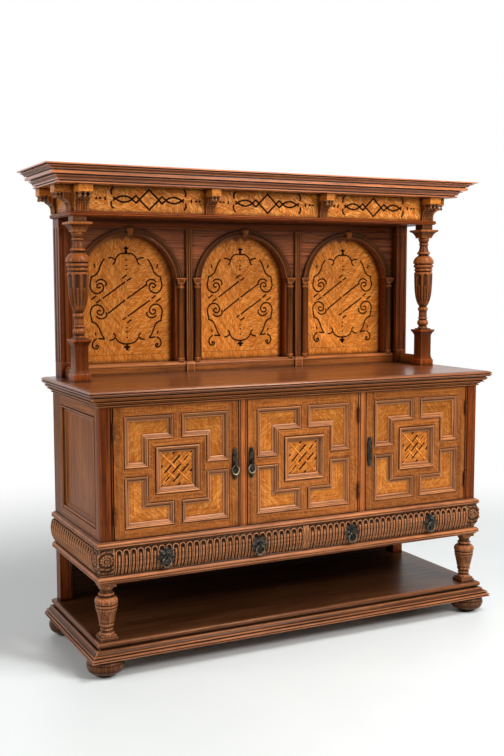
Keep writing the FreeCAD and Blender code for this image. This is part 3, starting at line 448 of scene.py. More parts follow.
for x in (-787, 787):
    balusters.append(square_block(63, x, baluster_d, (126, 137)))
    balusters.append(square_block(54, x, baluster_d, (136.5, 145)))
    outline = shaped(baluster, 0.7, False)
    turning = turned(outline, x, baluster_d, 48)
    balusters.append(grained(turning, "z", lathe_worn_and_painted_light(outline, x, baluster_d, 0.1)))
    balusters.append(square_block(58, x, baluster_d, (318, 330)))
fitted("balusters", balusters, dull_oak, "front_balusters")
posts = [plank((side * 764, side * case_half), (0, 50), (126, 330), "z", -0.3, 2.0) for side in (-1, 1)]
fitted("back_posts", posts, stained_oak, "rear_posts")
dark_oak = polished_wood("dark_oak", (38, 20, 10), (66, 39, 22), (22, 11, 6), 0.5, turn=(0, 0, 0))
# The back boards are painted near black, standing in for the shade under the case.
left_plain(dark_oak, "back_boards")


# Waist boards. Two moulded oak boards, below and above the drawers, tie the case together and stand
# out past it on three sides.
waist_low = shaped(
    [
        (-12, 0), (-10.5, 0, 1.4), (-1.5, 8.4), (0, 9), (0, 13), (-2.4, 14), (-2.4, 15.6), (-0.4, 16.6, -2.6),
        (-10, 28), (-13, 28), (-14, 30), (-24, 30),
    ],
    0.5, False,
)
waist_high = shaped(
    [
        (-9, 0), (-7.5, 0, 1.0), (-1.2, 6), (0, 6.6), (0, 10.6), (-2.4, 11.6), (-2.4, 13), (-0.4, 14, -2.2),
        (-8.6, 23), (-11, 23), (-12, 25), (-22, 25),
    ],
    0.5, False,
)
lower_waist = moulded_board(830, 580, 330, waist_low, 0.3)
fitted("waist_below_drawers", [lower_waist], dull_oak, "lower_waist_board")
upper_waist = moulded_board(830, 580, 455, waist_high, 0.15)
fitted("waist_above_drawers", [upper_waist], dull_oak, "upper_waist_board")


# Drawer friezes. Bowed oak friezes carved with round-headed flutes, each with a raised rim, a hollow
# and a reed let into its lower part; a leaf covers each front corner and a plain tongue parts the drawers.
frieze_foot, frieze_head = 360.0, 455.0


def bow(z):
    """How far the bowed frieze stands out from the case at this height."""
    t = (z - frieze_foot) / (frieze_head - frieze_foot)
    return 5 + 7 * t + 49.2 * t * (1 - t)


def flute(s, z, pitch, top):
    """Depth of the carving at a place along the frieze."""
    u = abs(s % pitch - pitch / 2)
    rim, wide, reed_half, reed_drop = pitch / 2 - 0.3, 4.4, 5.8, 11
    head = top - 1.2 - rim
    r = u if z < head else math.hypot(u, z - head)
    if r >= rim:
        return -8.0 if z > head else -4.0
    if r > rim - wide:
        # The rim rises a little towards the head; the tone that follows the cut makes the head rim a painted
        # highlight.
        lift = 2.0 + 0.9 * max(0.0, (z - head) / rim)
        return -2.0 + lift * math.sin(math.pi * (r - rim + wide) / wide)
    cut = -2.0 - 5.0 * math.sqrt(1 - (r / (rim - wide)) ** 2)
    reed = u if z < head - reed_drop else math.hypot(u, z - head + reed_drop)
    if reed < reed_half:
        cut = max(cut, -6.6 + 5.4 * math.sqrt(1 - (reed / reed_half) ** 2))
    return cut


def backed(bm, behind):
    """Turns the open edge of a carved face back and closes it there."""
    made = bmesh.ops.extrude_edge_only(bm, edges=[e for e in bm.edges if e.is_boundary])["geom"]
    for part in made:
        if isinstance(part, bmesh.types.BMVert):
            part.co = behind(part.co)
    bmesh.ops.holes_fill(bm, edges=[e for e in bm.edges if e.is_boundary], sides=0)


def carved_face(columns, rows, length, low, high, depth_at, place, behind, way):
    """A carved face with its edges turned back: a fine grid cut in, painted light where it is left proud and
    painted shade in the cuts.
    """
    bm = bmesh.new()
    bmesh.ops.create_grid(bm, x_segments=columns, y_segments=rows, size=1)
    cuts = []
    for v in bm.verts:
        s, t = (v.co.x + 1) / 2 * length, (v.co.y + 1) / 2
        t = t * 5 / 3 if t < 0.3 else 0.5 + (t - 0.3) * 5 / 7
        z = low + (high - low) * t
        cuts.append(depth_at(s, z))
        v.co = place(s, z, cuts[-1])
    backed(bm, behind)
    bmesh.ops.recalc_face_normals(bm, faces=bm.faces)
    # Painted light and shade: the tone rises where the face is proud and falls with the depth of the cut.
    return toned(grained(bm, way), [max(-1.8, 1.75 + 0.66 * cut) for cut in cuts])


side_friezes = []
for side in (-1, 1):
    pitch = 517 / 19
    side_friezes.append(
        carved_face(
            19 * 16, 38, 517, 360.2, 454.8,
            lambda s, z: flute(s, z, pitch, 454.8),
            lambda s, z, cut: Vector((side * (case_half + bow(z) + cut), back(s), z)),
            lambda p: Vector((side * 794, p.y, p.z)),
            "y",
        )
    )
carved_oak = polished_wood(
    "carved_oak", (106, 63, 37), (172, 114, 74), (62, 34, 18), 0.36, worn=0.7, gloss=0.06,
)
fitted("side_flutes", side_friezes, carved_oak, "side_friezes")


def leaf(s, z):
    """Carving of the corner leaf: on each face a scroll with small lobes round it."""
    t = (z - frieze_foot) / (frieze_head - frieze_foot)
    across, up = (abs(2 * s - 1) - 0.52) * 52, (t - 0.6) * 95
    r, angle = math.hypot(across, up), math.atan2(up, across)
    if r < 14:
        ridge = 0.5 + 0.5 * math.cos(math.tau * r / 7.5 - angle)
    else:
        ridge = abs(math.sin(5.5 * angle + r / 9)) ** 0.6 * (0.55 + 0.45 * math.cos(math.tau * r / 16))
    return -6.4 + 4.2 * ridge * (1.0 if 0.05 < t < 0.95 else 0.3)


def corner_face(side):
    def place(s, z, cut):
        out = bow(z) + cut
        if s < 0.5:
            return Vector((side * (767 + (47 + out) * s * 2), back(case_depth + out), z))
        return Vector((side * (case_half + out), back(case_depth + out - (47 + out) * (s * 2 - 1)), z))

    return place


corner_leaves = []
for side in (-1, 1):
    face = carved_face(
        72, 60, 1, 360.2, 454.8, leaf, corner_face(side),
        lambda p: Vector((side * 790, back(541), p.z)) * 0.2 + p * 0.8, "z",
    )
    corner_leaves.append(face)
    corner_leaves.append(plank((side * 767, side * 812), (517, 562), (360, 455), "z"))
heights = [frieze_foot + 95 * i / 12 for i in range(13)]
tongue = [(542, 360), *((case_depth + bow(z), z) for z in heights), (542, 455)]
corner_leaves.append(sawn(tongue, (-11.75, 11.75), lambda d, z, x: plan(x, d, z), "z", 0.05))
fitted("corner_leaves", corner_leaves, carved_oak, "corner_blocks")
left_plain(plain_oak_deep, "drawer_guides")


# Drawers. Two wide drawers of plain oak behind fluted, bowed fronts; each front carries two cast
# bronze star rosettes with a small eye, and a brass ring hangs from each eye.
def metal(name, dark, light, rough):
    """Cast metal with a worn patina: dark in the hollows, brighter where hands rub it."""
    finish, tree, body = new_finish(name)
    place = coat(tree, "TexCoord", {}).outputs["Object"]
    pits = coat(tree, "TexNoise", {"Vector": place, "Scale": 420.0, "Detail": 3.0}).outputs["Fac"]
    wear = coat(tree, "TexNoise", {"Vector": place, "Scale": 70.0, "Detail": 3.0}).outputs["Fac"]
    mix = blended(tree, spread(tree, wear, 0.38, 0.66, 0.0, 1.0), stain(*dark), stain(*light))
    corner = coat(tree, "AmbientOcclusion", {"Distance": 0.006, "Color": mix}, samples=6).outputs["Color"]
    tree.links.new(corner, body.inputs["Base Color"])
    body.inputs["Metallic"].default_value = 0.85
    tree.links.new(spread(tree, wear, 0.3, 0.7, rough + 0.12, rough - 0.08), body.inputs["Roughness"])
    relief = coat(tree, "Bump", {"Strength": 0.35, "Distance": 0.0006, "Height": pits})
    tree.links.new(relief.outputs["Normal"], body.inputs["Normal"])
    return finish


dark_bronze = metal("dark_bronze", (20, 18, 16), (68, 62, 54), 0.34)
ring_brass = metal("ring_brass", (92, 82, 64), (184, 170, 138), 0.32)
dull_brass = metal("dull_brass", (62, 56, 46), (140, 128, 106), 0.34)


def faced(bm, x, d, z):
    """A piece from the lathe, laid to face forward and set in its spot."""
    bmesh.ops.rotate(bm, verts=bm.verts, cent=(0, 0, 0), matrix=Matrix.Rotation(math.pi / 2, 3, "X"))
    bmesh.ops.translate(bm, verts=bm.verts, vec=(x, back(d), z))
    return grained(bm, "z")


def rosette(x, z):
    """An eight-pointed star cast in relief, with a boss and an eye in front."""
    outline = [
        (0, 5.5), (6, 5.5), (8.5, 4.2), (10, 2.0), (13, 2.6), (16, 3.8), (19, 3.6), (22, 2.2), (26, 3.0),
        (30, 2.8), (34, 1.6), (36, 0.0), (35, -1.6), (22, -2.0), (0, -2.0),
    ]
    star = turned([(0.9 * r, z) for r, z in outline], 0, wall, 64)
    for v in star.verts:
        r, angle = math.hypot(v.co.x, v.co.y), math.atan2(v.co.y, v.co.x)
        point = math.cos(8 * angle)
        pull = 1 + 0.2 * point * max(0.0, (r - 12) / 24)
        v.co = Vector((v.co.x * pull, v.co.y * pull, v.co.z + (0.9 * point if 11 < r < 35 else 0.0)))
    eye = plank((x - 4.5, x + 4.5), (588, 597), (z - 6, z + 7), "z", 0.0, 3.2)
    return [faced(star, x, 585.4, z), eye]


def ring(node, wire, pear):
    """A bent wire ring where its plain node hangs, drawn in towards the eye."""
    low, high = (1000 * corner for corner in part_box(node))
    middle = (low + high) / 2
    radius = (high.z - low.z) / 2 - wire
    bm = bmesh.new()
    bmesh.ops.create_circle(bm, cap_ends=False, radius=wire, segments=10)
    bmesh.ops.translate(bm, vec=(radius, 0, 0), verts=bm.verts)
    bmesh.ops.spin(
        bm, geom=bm.verts[:] + bm.edges[:], axis=(0, 1, 0), cent=(0, 0, 0), angle=math.tau, steps=40,
        use_merge=True,
    )
    bmesh.ops.remove_doubles(bm, verts=bm.verts, dist=0.01)
    bmesh.ops.recalc_face_normals(bm, faces=bm.faces)
    for v in bm.verts:
        rise = max(0.0, v.co.z / radius)
        v.co.x *= (1 - 0.4 * pear) * (1 - pear * rise * rise * (3 - 2 * rise))
    bmesh.ops.translate(bm, vec=middle, verts=bm.verts)
    return grained(bm, "x")


for name, side in (("left", -1), ("right", 1)):
    drawer = f"drawer_{name}"
    near, far = 13.25, 765.5
    pitch = (far - near) / 28
    front = carved_face(
        28 * 16, 38, far - near, 361.6, 453.4,
        lambda s, z: flute(s, z, pitch, 453.4),
        lambda s, z, cut: Vector((side * (near + s), back(case_depth + bow(z) + cut), z)),
        lambda p: Vector((p.x, back(542), p.z)), "x",
    )
    fitted(f"{drawer}_fluted_front", [front], carved_oak, f"{drawer}_front", body=drawer)
    left_plain(plain_oak, f"{drawer}_box")
    stars = [part for x in (202.375, 576.375) for part in rosette(side * x, 407.5)]
    fitted(f"{drawer}_rosettes", stars, dark_bronze, f"{drawer}_pulls", slot="dark_bronze", body=drawer)
    for place in ("inner", "outer"):
        node = f"{drawer}_{place}_ring"
        wire, body = ring(node, 2.5, 0.1), f"drawer_ring_{name}_{place}"
        fitted(f"{node}_wire", [wire], dull_brass, node, slot="ring_brass", body=body)


# Cupboard sides. Each end is a framed oak panel: a post and stiles with rails between, and a sunk
# panel held by four mitred mouldings.
panel_trim = shaped(
    [
        (0, 0), (23, 0), (23, 2.2), (20.6, 2.8), (19.6, 0.8), (18.4, 3.2, 1.6), (9.6, 9), (9.6, 11.4),
        (8, 13, -0.6), (4.4, 13.2), (3.6, 6), (0, 6),
    ],
    0.4,
)
cupboard = (480, 953)
side_frame, side_panel = [], []
for side in (-1, 1):
    # The front stile and the rails are painted lighter and the back posts darker, as painted light on this
    # side.
    for d, z, way, tone in (
        ((0, 66), cupboard, "z", -0.4), ((66, 108), cupboard, "z", -0.2), ((515, 542), cupboard, "z", 0.35),
        ((108, 515), (918, 953), "y", 0.4), ((108, 515), (480, 518), "y", 0.3),
    ):
        side_frame.append(plank((side * 792, side * case_half), d, z, way, tone, 1.6))
    side_panel.append(plank((side * 793, side * 801), (106, 517), (516, 920), "z", 0.4))
    side_panel += mitred(
        [(108, 518), (515, 518), (515, 918), (108, 918)], panel_trim,
        lambda d, z, up: Vector((side * (801 + up), back(d), z)), 0.1, True,
    )
fitted("side_framing", side_frame, bright_oak, "side_frames")
fitted("side_panelling", side_panel, bright_oak, "side_panels")


# Front stiles. Oak uprights between and beside the doors: the outer two are flat with a bead by the
# door, the two dividers are reeded on both sides of a flat fillet.
def reeds(start, width, face, count):
    """The front edge of a run of small half-round reeds, as (x, d)."""
    step = width / count
    return [
        (
            start + step * (i + 0.5 - 0.5 * math.cos(math.pi * k / 6)),
            face - step * 0.5 + step * 0.5 * math.sin(math.pi * k / 6),
        )
        for i in range(count) for k in range(7)
    ]


def upright(outline, low, high, tone):
    """A stile planed to an outline seen from above, as (x, d)."""
    return sawn(outline, (low, high), plan, "z", tone)


stiles, dividers = [], []
for side in (-1, 1):
    bead = [(763, 542), *reeds(763, 8, 563, 1), (772, 560), (773.5, 564), (813, 564), (814, 563), (814, 542)]
    stiles.append(upright([(side * x, d) for x, d in bead], *cupboard, -0.1 + 0.15 * side))
    middle = side * 259.83
    divider = [
        (-16.5, 542), *reeds(-16.5, 7, 563, 1), (-9, 559.5), (-8.2, 564), (8.2, 564), (9, 559.5),
        *reeds(9.5, 7, 563, 1), (16.5, 542),
    ]
    dividers.append(upright([(middle + x, d) for x, d in divider], *cupboard, 1.8))
fitted("door_stiles", stiles, stained_oak, "front_stiles")
fitted("reeded_dividers", dividers, turned_oak)
left_plain(plain_oak_upright, "cabinet_partitions")
left_plain(plain_oak, "interior_shelves")
hinge_brown = metal("hinge_brown", (84, 44, 20), (116, 66, 32), 0.5)
left_plain(hinge_brown, "hinge_frame_leaves")


# Doors. Framed oak doors: stiles, rails and short muntins hold a square ring in the middle, four
# L-shaped quartered panels fill the corners behind mitred mouldings, and a woven lattice fills the ring.
flecked_oak = polished_wood(
    "flecked_oak", (160, 84, 24), (198, 116, 42), (118, 56, 14), 0.34, (224, 156, 78), 0.5, worn=0.0
)
honey_oak = polished_wood(
    "honey_oak", (120, 60, 21), (174, 100, 43), (76, 34, 11), 0.32, (204, 134, 66), 0.3
)
trim_oak = polished_wood("trim_oak", (106, 62, 34), (168, 108, 64), (60, 32, 16), 0.3, worn=0.6, gloss=0.15)
corner_trim = shaped(
    [
        (0, 549), (21, 549), (21, 552.4), (19, 552.8), (18.4, 553.4), (15.2, 554.8), (12.2, 557),
        (9.6, 560.6), (8.8, 560.8), (8.2, 557.4), (7.4, 562.4), (5.8, 564), (3.8, 564), (2.6, 562.6),
        (2.2, 555), (0, 555),
    ],
    0.3,
)
centre_trim = shaped(
    [
        (0, 549), (25, 549), (25, 552.4), (23, 552.8), (22.2, 553.6), (18.6, 555.4), (14.8, 558.4),
        (12, 562.8), (11, 563), (10.4, 559.4), (9.4, 564.8), (7.4, 566.4), (4.6, 566.4), (3, 565), (2.2, 556),
        (0, 556),
    ],
    0.3,
)
ring_board = [(0, 538), (25, 538), (25, 561), (24, 562), (1, 562), (0, 561)]
panel_x, panel_z, muntin, ring_half = 203.33, 201.5, 14, 112
elbow = (ring_half, ring_half)
level_arm = [(muntin, ring_half), elbow, (panel_x, panel_z), (muntin, panel_z)]
upright_arm = [elbow, (ring_half, muntin), (panel_x, muntin), (panel_x, panel_z)]
corner_outline = [level_arm[0], *upright_arm, level_arm[-1]]


def square(half):
    return [(-half, -half), (half, -half), (half, half), (-half, half)]


def trimmed(bm, half):
    """Saws a loose slat off at the four sides of a square round the origin."""
    for axis in ((1, 0, 0), (-1, 0, 0), (0, 0, 1), (0, 0, -1)):
        bmesh.ops.bisect_plane(
            bm, geom=bm.verts[:] + bm.edges[:] + bm.faces[:], plane_co=Vector(axis) * half, plane_no=axis,
            clear_outer=True,
        )
    bmesh.ops.holes_fill(bm, edges=[e for e in bm.edges if e.is_boundary], sides=0)
    return bm


def lattice():
    """Bars laid on one diagonal with slots left between them, short bridges, and thin beads across."""
    slats = []
    slots = {
        0: ((-86, -76), (-62, -40), (-23, 23), (40, 62), (76, 86)), 1: ((-43, -5), (5, 43)),
        2: ((-45, -27), (27, 45)),
    }
    end = 104
    for k in range(-4, 5):
        z = 24 * k
        slats.append(plank((-end, end), (545, 549.4), (z + 3, z + 21), "x", 0.1 * (k % 2) - 0.1, 1.0))
        start = -end
        for low, high in (*slots.get(abs(k), ()), (end, end)):
            slats.append(plank((start, low), (545, 549.2), (z - 3.4, z + 3.4), "x", 0.15, 0.4))
            start = high
    for u, low, high in ((0, 5, end), (0, -end, -5), (30, -21, 21), (-30, -21, 21)):
        slats.append(plank((u - 2.1, u + 2.1), (548, 551), (low, high), "z", 1.7, 0.8))
    for low, high in ((26, end), (-end, -26)):
        slats += [plank((low, high), (548, 550.4), (w - 1.5, w + 1.5), "x", 1.3, 0.6) for w in (-4.4, 4.4)]
    for slat in slats:
        bmesh.ops.rotate(slat, verts=slat.verts, cent=(0, 0, 0), matrix=Matrix.Rotation(-math.pi / 4, 3, "Y"))
        trimmed(slat, 70)
    return [slat for slat in slats if slat.faces]


door_middle_z = 716.5


def escutcheon(x, keyed):
    """A bronze lock plate with shaped ends: four round pins, and a staple or the cover of the keyhole."""
    half = [
        (3.7, 57), (6.8, 53), (4.6, 47), (8.2, 43), (9.8, 38), (9.8, -38), (8.2, -43), (4.6, -47), (6.8, -53),
        (3.7, -57),
    ]
    outline = half + [(-u, v) for u, v in reversed(half)]
    levels = ((1, 562.2), (1, 565.6), (0.93, 566.8))
    rings = [[plan(x + u * w, d, door_middle_z + v * w) for u, v in outline] for w, d in levels]
    parts = [grained(built_up(rings), "z")]
    for v in (-50, -26, 26, 50):
        pin = turned([(0, 0), (4.2, 0), (3.6, 1.6), (2, 2.6), (0, 2.9)], 0, wall, 16)
        parts.append(faced(pin, x, 566.6, door_middle_z + v))
    reach, face, z, ease = (3, 569, (704, 726), 1.2) if keyed else (5.5, 576, (710, 724), 3.0)
    return parts + [plank((x - reach, x + reach), (566, face), z, "z", 0.0, ease)]


def moved(bm, x, z):
    bmesh.ops.translate(bm, vec=(x, 0, z), verts=bm.verts)
    return bm


# The right door is painted darker as shade where less light reaches it; the left and middle doors differ a
# little in stain.
for name, middle, door_stain_and_shade, axis, plate_x in (
    ("left", -519.67, -0.04, -761.5, -293.83),
    ("middle", 0.0, 0.06, 241.83, -225.83),
    ("right", 519.67, -0.26, 761.5, 293.83),
):
    door = f"door_{name}"

    def on_door(x, z, d):
        return Vector((middle + x, back(d), door_middle_z + z))

    framing, panels, trims = [], [], []
    for side in (-1, 1):
        for x, z, way, tone in (
            ((side * panel_x, side * 240.33), (-234.5, 234.5), "z", -0.22),
            ((-panel_x, panel_x), (side * panel_z, side * 234.5), "x", 0.02),
            ((-muntin, muntin), (side * 111, side * panel_z), "z", -0.05),
            ((side * 111, side * panel_x), (-muntin, muntin), "x", -0.02),
        ):
            framing.append(moved(plank(x, (538, 562), z, way, door_stain_and_shade + tone), middle, door_middle_z))
    framing += mitred(square(ring_half), ring_board, on_door, door_stain_and_shade + 0.02, True, False)
    for flip_x in (-1, 1):
        for flip_z in (-1, 1):
            outline = [(flip_x * x, flip_z * z) for x, z in corner_outline]
            if flip_x != flip_z:
                outline.reverse()
            tone = door_stain_and_shade - 0.14 - 0.14 * flip_x - 0.2 * flip_z
            for arm, way in (
                (level_arm, lambda p: (p.x, flip_x * flip_z * p.z, p.y)),
                (upright_arm, lambda p: (p.z, flip_x * flip_z * p.x, p.y)),
            ):
                flipped = [(flip_x * x, flip_z * z) for x, z in arm]
                panels.append(sawn(flipped, (542, 550), on_door, way, tone))
            trims += mitred(outline, corner_trim, on_door, door_stain_and_shade + 0.2, True)
    trims += mitred(square(87), centre_trim, on_door, door_stain_and_shade + 0.3, True)
    # A near-black board behind the lattice: painted shade seen through the slots.
    panels.append(moved(plank((-70, 70), (542, 545), (-70, 70), "z", -1.9), middle, door_middle_z))
    panels += [moved(slat, middle, door_middle_z) for slat in lattice()]
    fitted(f"{door}_framing", framing, honey_oak, f"{door}_frame", slot="flecked_oak", body=door)
    fitted(f"{door}_quartered_panels", panels, flecked_oak, f"{door}_panels", slot="flecked_oak", body=door)
    fitted(f"{door}_trim", trims, trim_oak, f"{door}_mouldings", body=door)
    hand = -1 if name == "left" else 1
    leaves = []
    for low, turn_up in ((537.0, 1), (896.0, -1)):
        leaf_x = (axis - hand * 1.5, axis - hand * 0.1)
        leaves.append(plank(leaf_x, (540.9, 563.9), sorted((low, low + turn_up * 60)), "z", 0.0, 0.3))
        inner = sorted((low + turn_up * 20.13, low + turn_up * 39.87))
        leaves.append(plank(leaf_x, (563.5, 568.3), inner, "z", 0.0, 0.3))
        barrel = [
            (2.05, inner[0]), (3.6, inner[0]), (4, inner[0] + 0.5), (4, inner[1] - 0.5), (3.6, inner[1]),
        ]
        leaves.append(grained(turned([*barrel, (2.05, inner[1]), barrel[0]], axis, 568.3, 24), "z"))
    lock_x = middle - hand * 221.83
    leaves.append(plank((lock_x - 16.5, lock_x + 16.5), (526, 538), (681.5, 751.5), "z", 0.0, 1.5))
    fitted(f"{door}_hinge_leaves", leaves, hinge_brown, f"{door}_metalwork", slot="dark_bronze", body=door)
    plate = escutcheon(plate_x, name == "right")
    fitted(f"{door}_escutcheon", plate, dark_bronze, slot="dark_bronze", body=door)
    if name != "right":
        node = f"{door}_ring"
        wire = ring(node, 2.9, 0.6)
        fitted(f"{node}_wire", [wire], ring_brass, node, slot="ring_brass", body=f"drop_ring_{name}")


# Top of the base. A coved moulding mitred round three sides under a wide polished oak top with a
# rounded edge.
top_cove = [
    (-22, 953), (2, 953), (2, 955), (8, 955.6), (8, 959), (3.8, 959.6), (3.8, 962), (10, 962.6, 2.2),
    (22, 970), (24, 970.4), (24, 973.2), (18.6, 973.8), (18.6, 976.6), (25, 977.2, -1.6), (33.5, 988),
    (28, 988.8), (28, 993), (-22, 993),
]
cove_lengths = mitred(round_body(case_half, case_depth), shaped(top_cove, 0.4), plan, -0.3)
fitted("top_cove", cove_lengths, bright_oak, "top_mouldings")
top_edge = shaped(
    [
        (-8, 0), (-6.4, 0.2, 0.8), (-1, 5.6), (0, 6.2), (0, 8.4), (-5, 9), (-5, 12), (-0.6, 12.6, -2.6),
        (-11, 20.8), (-13.5, 20.8), (-14.5, 22), (-26, 22),
    ],
    0.5, False,
)
counter = moulded_board(860, 610, 993, top_edge, -0.55)
table_oak = polished_wood("table_oak", (90, 44, 19), (138, 80, 42), (52, 24, 10), 0.32, worn=0.6, gloss=0.4)
fitted("counter_top", [counter], table_oak, "top_board")


# Foot of the hutch. An oak rail along the back and a shorter one on each side stand on the top; the
# back rail has a rounded top edge that breaks forward under each pilaster.
pilaster_x, arcade_half, hutch_half, column_x = 253.17, 746, 801, 776
counter_z, rail_z, soffit_z = 1015, 1058, 1624
ovolo = shaped([(-8, 1015), (0, 1015), (0, 1041, -3.0), (-8, 1058)], 0.6)
break_path = [(-arcade_half, 60)]
for x in (-pilaster_x, pilaster_x):
    break_path += [(x - 17.5, 60), (x - 17.5, 68), (x + 17.5, 68), (x + 17.5, 60)]
break_path.append((arcade_half, 60))
rails = mitred(break_path, ovolo, plan, -0.3)
rails.append(plank((-arcade_half, arcade_half), (8, 52.5), (counter_z, rail_z), "x", -0.1, 0.6))
rails += [
    plank((x - 10, x + 10), (50, 61), (counter_z, 1057.6), "x", -0.1, 0.6) for x in (-pilaster_x, pilaster_x)
]
side_rail = shaped([(-10, 1015), (10, 1015), (10, 1041, -2.0), (4, 1058), (-4, 1058, -2.0), (-10, 1041)], 0.6)
for x in (-column_x, column_x):
    rails.append(sawn([(x + u, z) for u, z in side_rail], (78, 206), elevation, "y", -0.08))
fitted("hutch_foot_rails", rails, bright_oak, "hutch_base_rails")


# Rear posts of the hutch. Square oak posts with two flutes on the front and on the outer face, plain
# at the foot and the head.
posts = []
for side in (-1, 1):
    hollow = [(math.cos(math.pi * k / 6), math.sin(math.pi * k / 6)) for k in range(7)]
    outline = [(arcade_half, 0), (hutch_half, 0)]
    for d in (22, 56):
        outline += [(hutch_half - 4 * sine, d - 6 * cosine) for cosine, sine in hollow]
    outline += [(hutch_half, 77), (hutch_half - 1, 78)]
    for x in (786, 761):
        outline += [(x + 6 * cosine, 78 - 4 * sine) for cosine, sine in hollow]
    outline += [(arcade_half + 1, 78), (arcade_half, 77)]
    posts.append(upright([(side * x, d) for x, d in outline], 1072, 1590, -0.3))
    for ends in ((counter_z, 1073), (1589, soffit_z)):
        posts.append(plank((side * arcade_half, side * hutch_half), (0, 78), ends, "z", -0.3))
fitted("hutch_posts", posts, stained_oak, "hutch_end_posts")


# Arch panels. Three thin panels of quartered oak, each two leaves laid mirrored so that their figure
# runs in chevrons, with a black wood line inlay let into the face.
bay_edges = (-arcade_half, -pilaster_x, pilaster_x, arcade_half)
arch_middles = (-506.33, 0.0, 506.33)


def chevron(middle, hand, lean):
    """Grain that rises towards a middle line, leaning to one hand or the other."""
    return lambda p: (
        p.z * math.sin(lean) + hand * (p.x - middle) * math.cos(lean),
        hand * p.z * math.cos(lean) - (p.x - middle) * math.sin(lean),
        p.y,
    )


def relaid(board, way, tone):
    """A board whose grain is laid another way."""
    board.verts.layers.float_vector.remove(board.verts.layers.float_vector["grain"])
    board.verts.layers.float.remove(board.verts.layers.float["tone"])
    return grained(board, way, tone)


leaves = []
# The three bays get lighter to the right: painted light.
for left, right, middle, tone in zip(bay_edges, bay_edges[1:], arch_middles, (0.08, 0.36, 0.44)):
    for ends, hand in (((left, middle), 1), ((middle, right), -1)):
        leaf_board = plank(ends, (1, 8), (1091, soffit_z), "z", 0.0, 0.2)
        leaves.append(relaid(leaf_board, chevron(middle, -hand, 0.9), tone))
        leaves.append(plank(ends, (1, 8), (counter_z, 1090), "z", tone, 0.2))
fitted("arch_leaves", leaves, flecked_oak, "arch_panels", slot="flecked_oak")
backing = []
for low in (counter_z, counter_z + 203, counter_z + 406):
    backing.append(plank((-arcade_half, arcade_half), (0, 1.2), (low, low + 203), "x", -0.75, 0.3))
fitted("arch_backing", backing, dark_oak)

black_line = polished_wood("black_line", (18, 6, 2), (32, 11, 4), (10, 4, 2), 0.75, worn=0.0, gloss=0.0)


def line_inlay(strokes, width):
    """Bent lines of black wood, nearly flush: each stroke is a run of (x, z)."""
    curve = bpy.data.curves.new("inlay_lines", "CURVE")
    curve.dimensions = "3D"
    curve.bevel_depth = width / 2
    curve.bevel_resolution = 1
    curve.resolution_u = 5
    curve.use_fill_caps = True
    for stroke in strokes:
        spline = curve.splines.new("NURBS")
        spline.points.add(len(stroke) - 1)
        for point, (x, z) in zip(spline.points, stroke):
            point.co = (x, 0, z, 1)
        spline.order_u = min(4, len(stroke))
        spline.use_endpoint_u = True
    holder = bpy.data.objects.new("inlay_lines", curve)
    mesh = bpy.data.meshes.new_from_object(holder)
    bm = bmesh.new()
    bm.from_mesh(mesh)
    bpy.data.objects.remove(holder)
    bpy.data.curves.remove(curve)
    bpy.data.meshes.remove(mesh)
    bmesh.ops.scale(bm, vec=(1, 0.35, 1), verts=bm.verts)
    return bm


curls = [
    [
        (-146, 86), (-147, 75), (-154, 56), (-150, 37), (-137, 23), (-121, 20), (-103, 28), (-94, 44),
        (-100, 59), (-113, 63), (-124, 56), (-124, 46), (-115, 41), (-109, 47),
    ],
    [(-127, 65), (-121, 75), (-103, 79), (-87, 70), (-82, 58), (-88, 52)],
]
half_strokes = [
    [(0, 180), (-19, 182), (-37, 174), (-45, 157), (-47, 150)],
    [(-75, 163), (-60, 164), (-47, 157), (-45, 148), (-52, 138), (-57, 137)],
    [(-91, 158), (-105, 142), (-112, 117), (-121, 100), (-134, 90), (-149, 86)],
    *curls, [(-134, 138), (-130, 124)], *([(x, -2 - z) for x, z in stroke] for stroke in curls),
    [(-149, -90), (-134, -93), (-121, -104), (-113, -127), (-105, -148), (-94, -160)],
    [(-121, -157), (-94, -160)],
    [
        (-128, -157), (-144, -167), (-148, -183), (-141, -197), (-128, -200), (-119, -190), (-126, -181),
        (-134, -186), (-129, -192),
    ],
    [(-75, -166), (-58, -164), (-47, -155), (-50, -143), (-59, -139)],
    [(-47, -157), (-42, -171), (-27, -182), (0, -182)], [(-134, -133), (-130, -143)],
]
whole_strokes = [
    [(0, 208), (0, 186)], [(-11, 201), (11, 201)], [(0, -183), (0, -207)], [(-13, -196), (13, -196)],
    [(-6, -204), (6, -204)],
    [(-128, -16), (-110, -4)], [(-100, 2), (-6, 67)], [(1, 71), (19, 82)],
    [(-79, -58), (-6, -5)], [(2, 0), (86, 56)],
    [(-18, -84), (-3, -75)], [(3, -71), (99, -8)], [(107, -1), (123, 12)],
    [(-18, 81), (1, 95)], [(-148, -2), (-128, 11)], [(125, -15), (146, -1)], [(1, -97), (20, -85)],
]
bold_strokes = [[(0, 206), (0, 184)], [(-7, 199), (7, 199)], [(-5, 187), (5, 187)], [(-12, -194), (12, -194)]]
bold_strokes += [[(0, -186), (0, -205)], [(-5, -203), (5, -203)], [(-4, -186), (4, -186)]]
bold_strokes += [[(0, z + 2), (0, z - 2)] for z in (155, 132, 117, -117, -133, -156)]
strokes = [[(sign * x, z) for x, z in stroke] for stroke in half_strokes for sign in (-1, 1)] + whole_strokes
inlays, diamonds = [], []
for middle in arch_middles:
    for lines in (line_inlay(strokes, 6.4), line_inlay(bold_strokes, 8.6)):
        bmesh.ops.translate(lines, vec=(middle, back(8), 1315.5), verts=lines.verts)
        inlays.append(grained(lines, "x"))
    for x in (-17, 22):
        corners = [(middle + x + u, z) for u, z in ((-13, 1557), (0, 1546), (13, 1557), (0, 1568))]
        diamonds.append(sawn(corners, (7, 8.3), elevation, "x", -0.5))
fitted("arch_inlay", inlays, black_line, slot="dark_walnut")
fitted("arch_diamonds", diamonds, stained_oak, slot="dark_walnut")


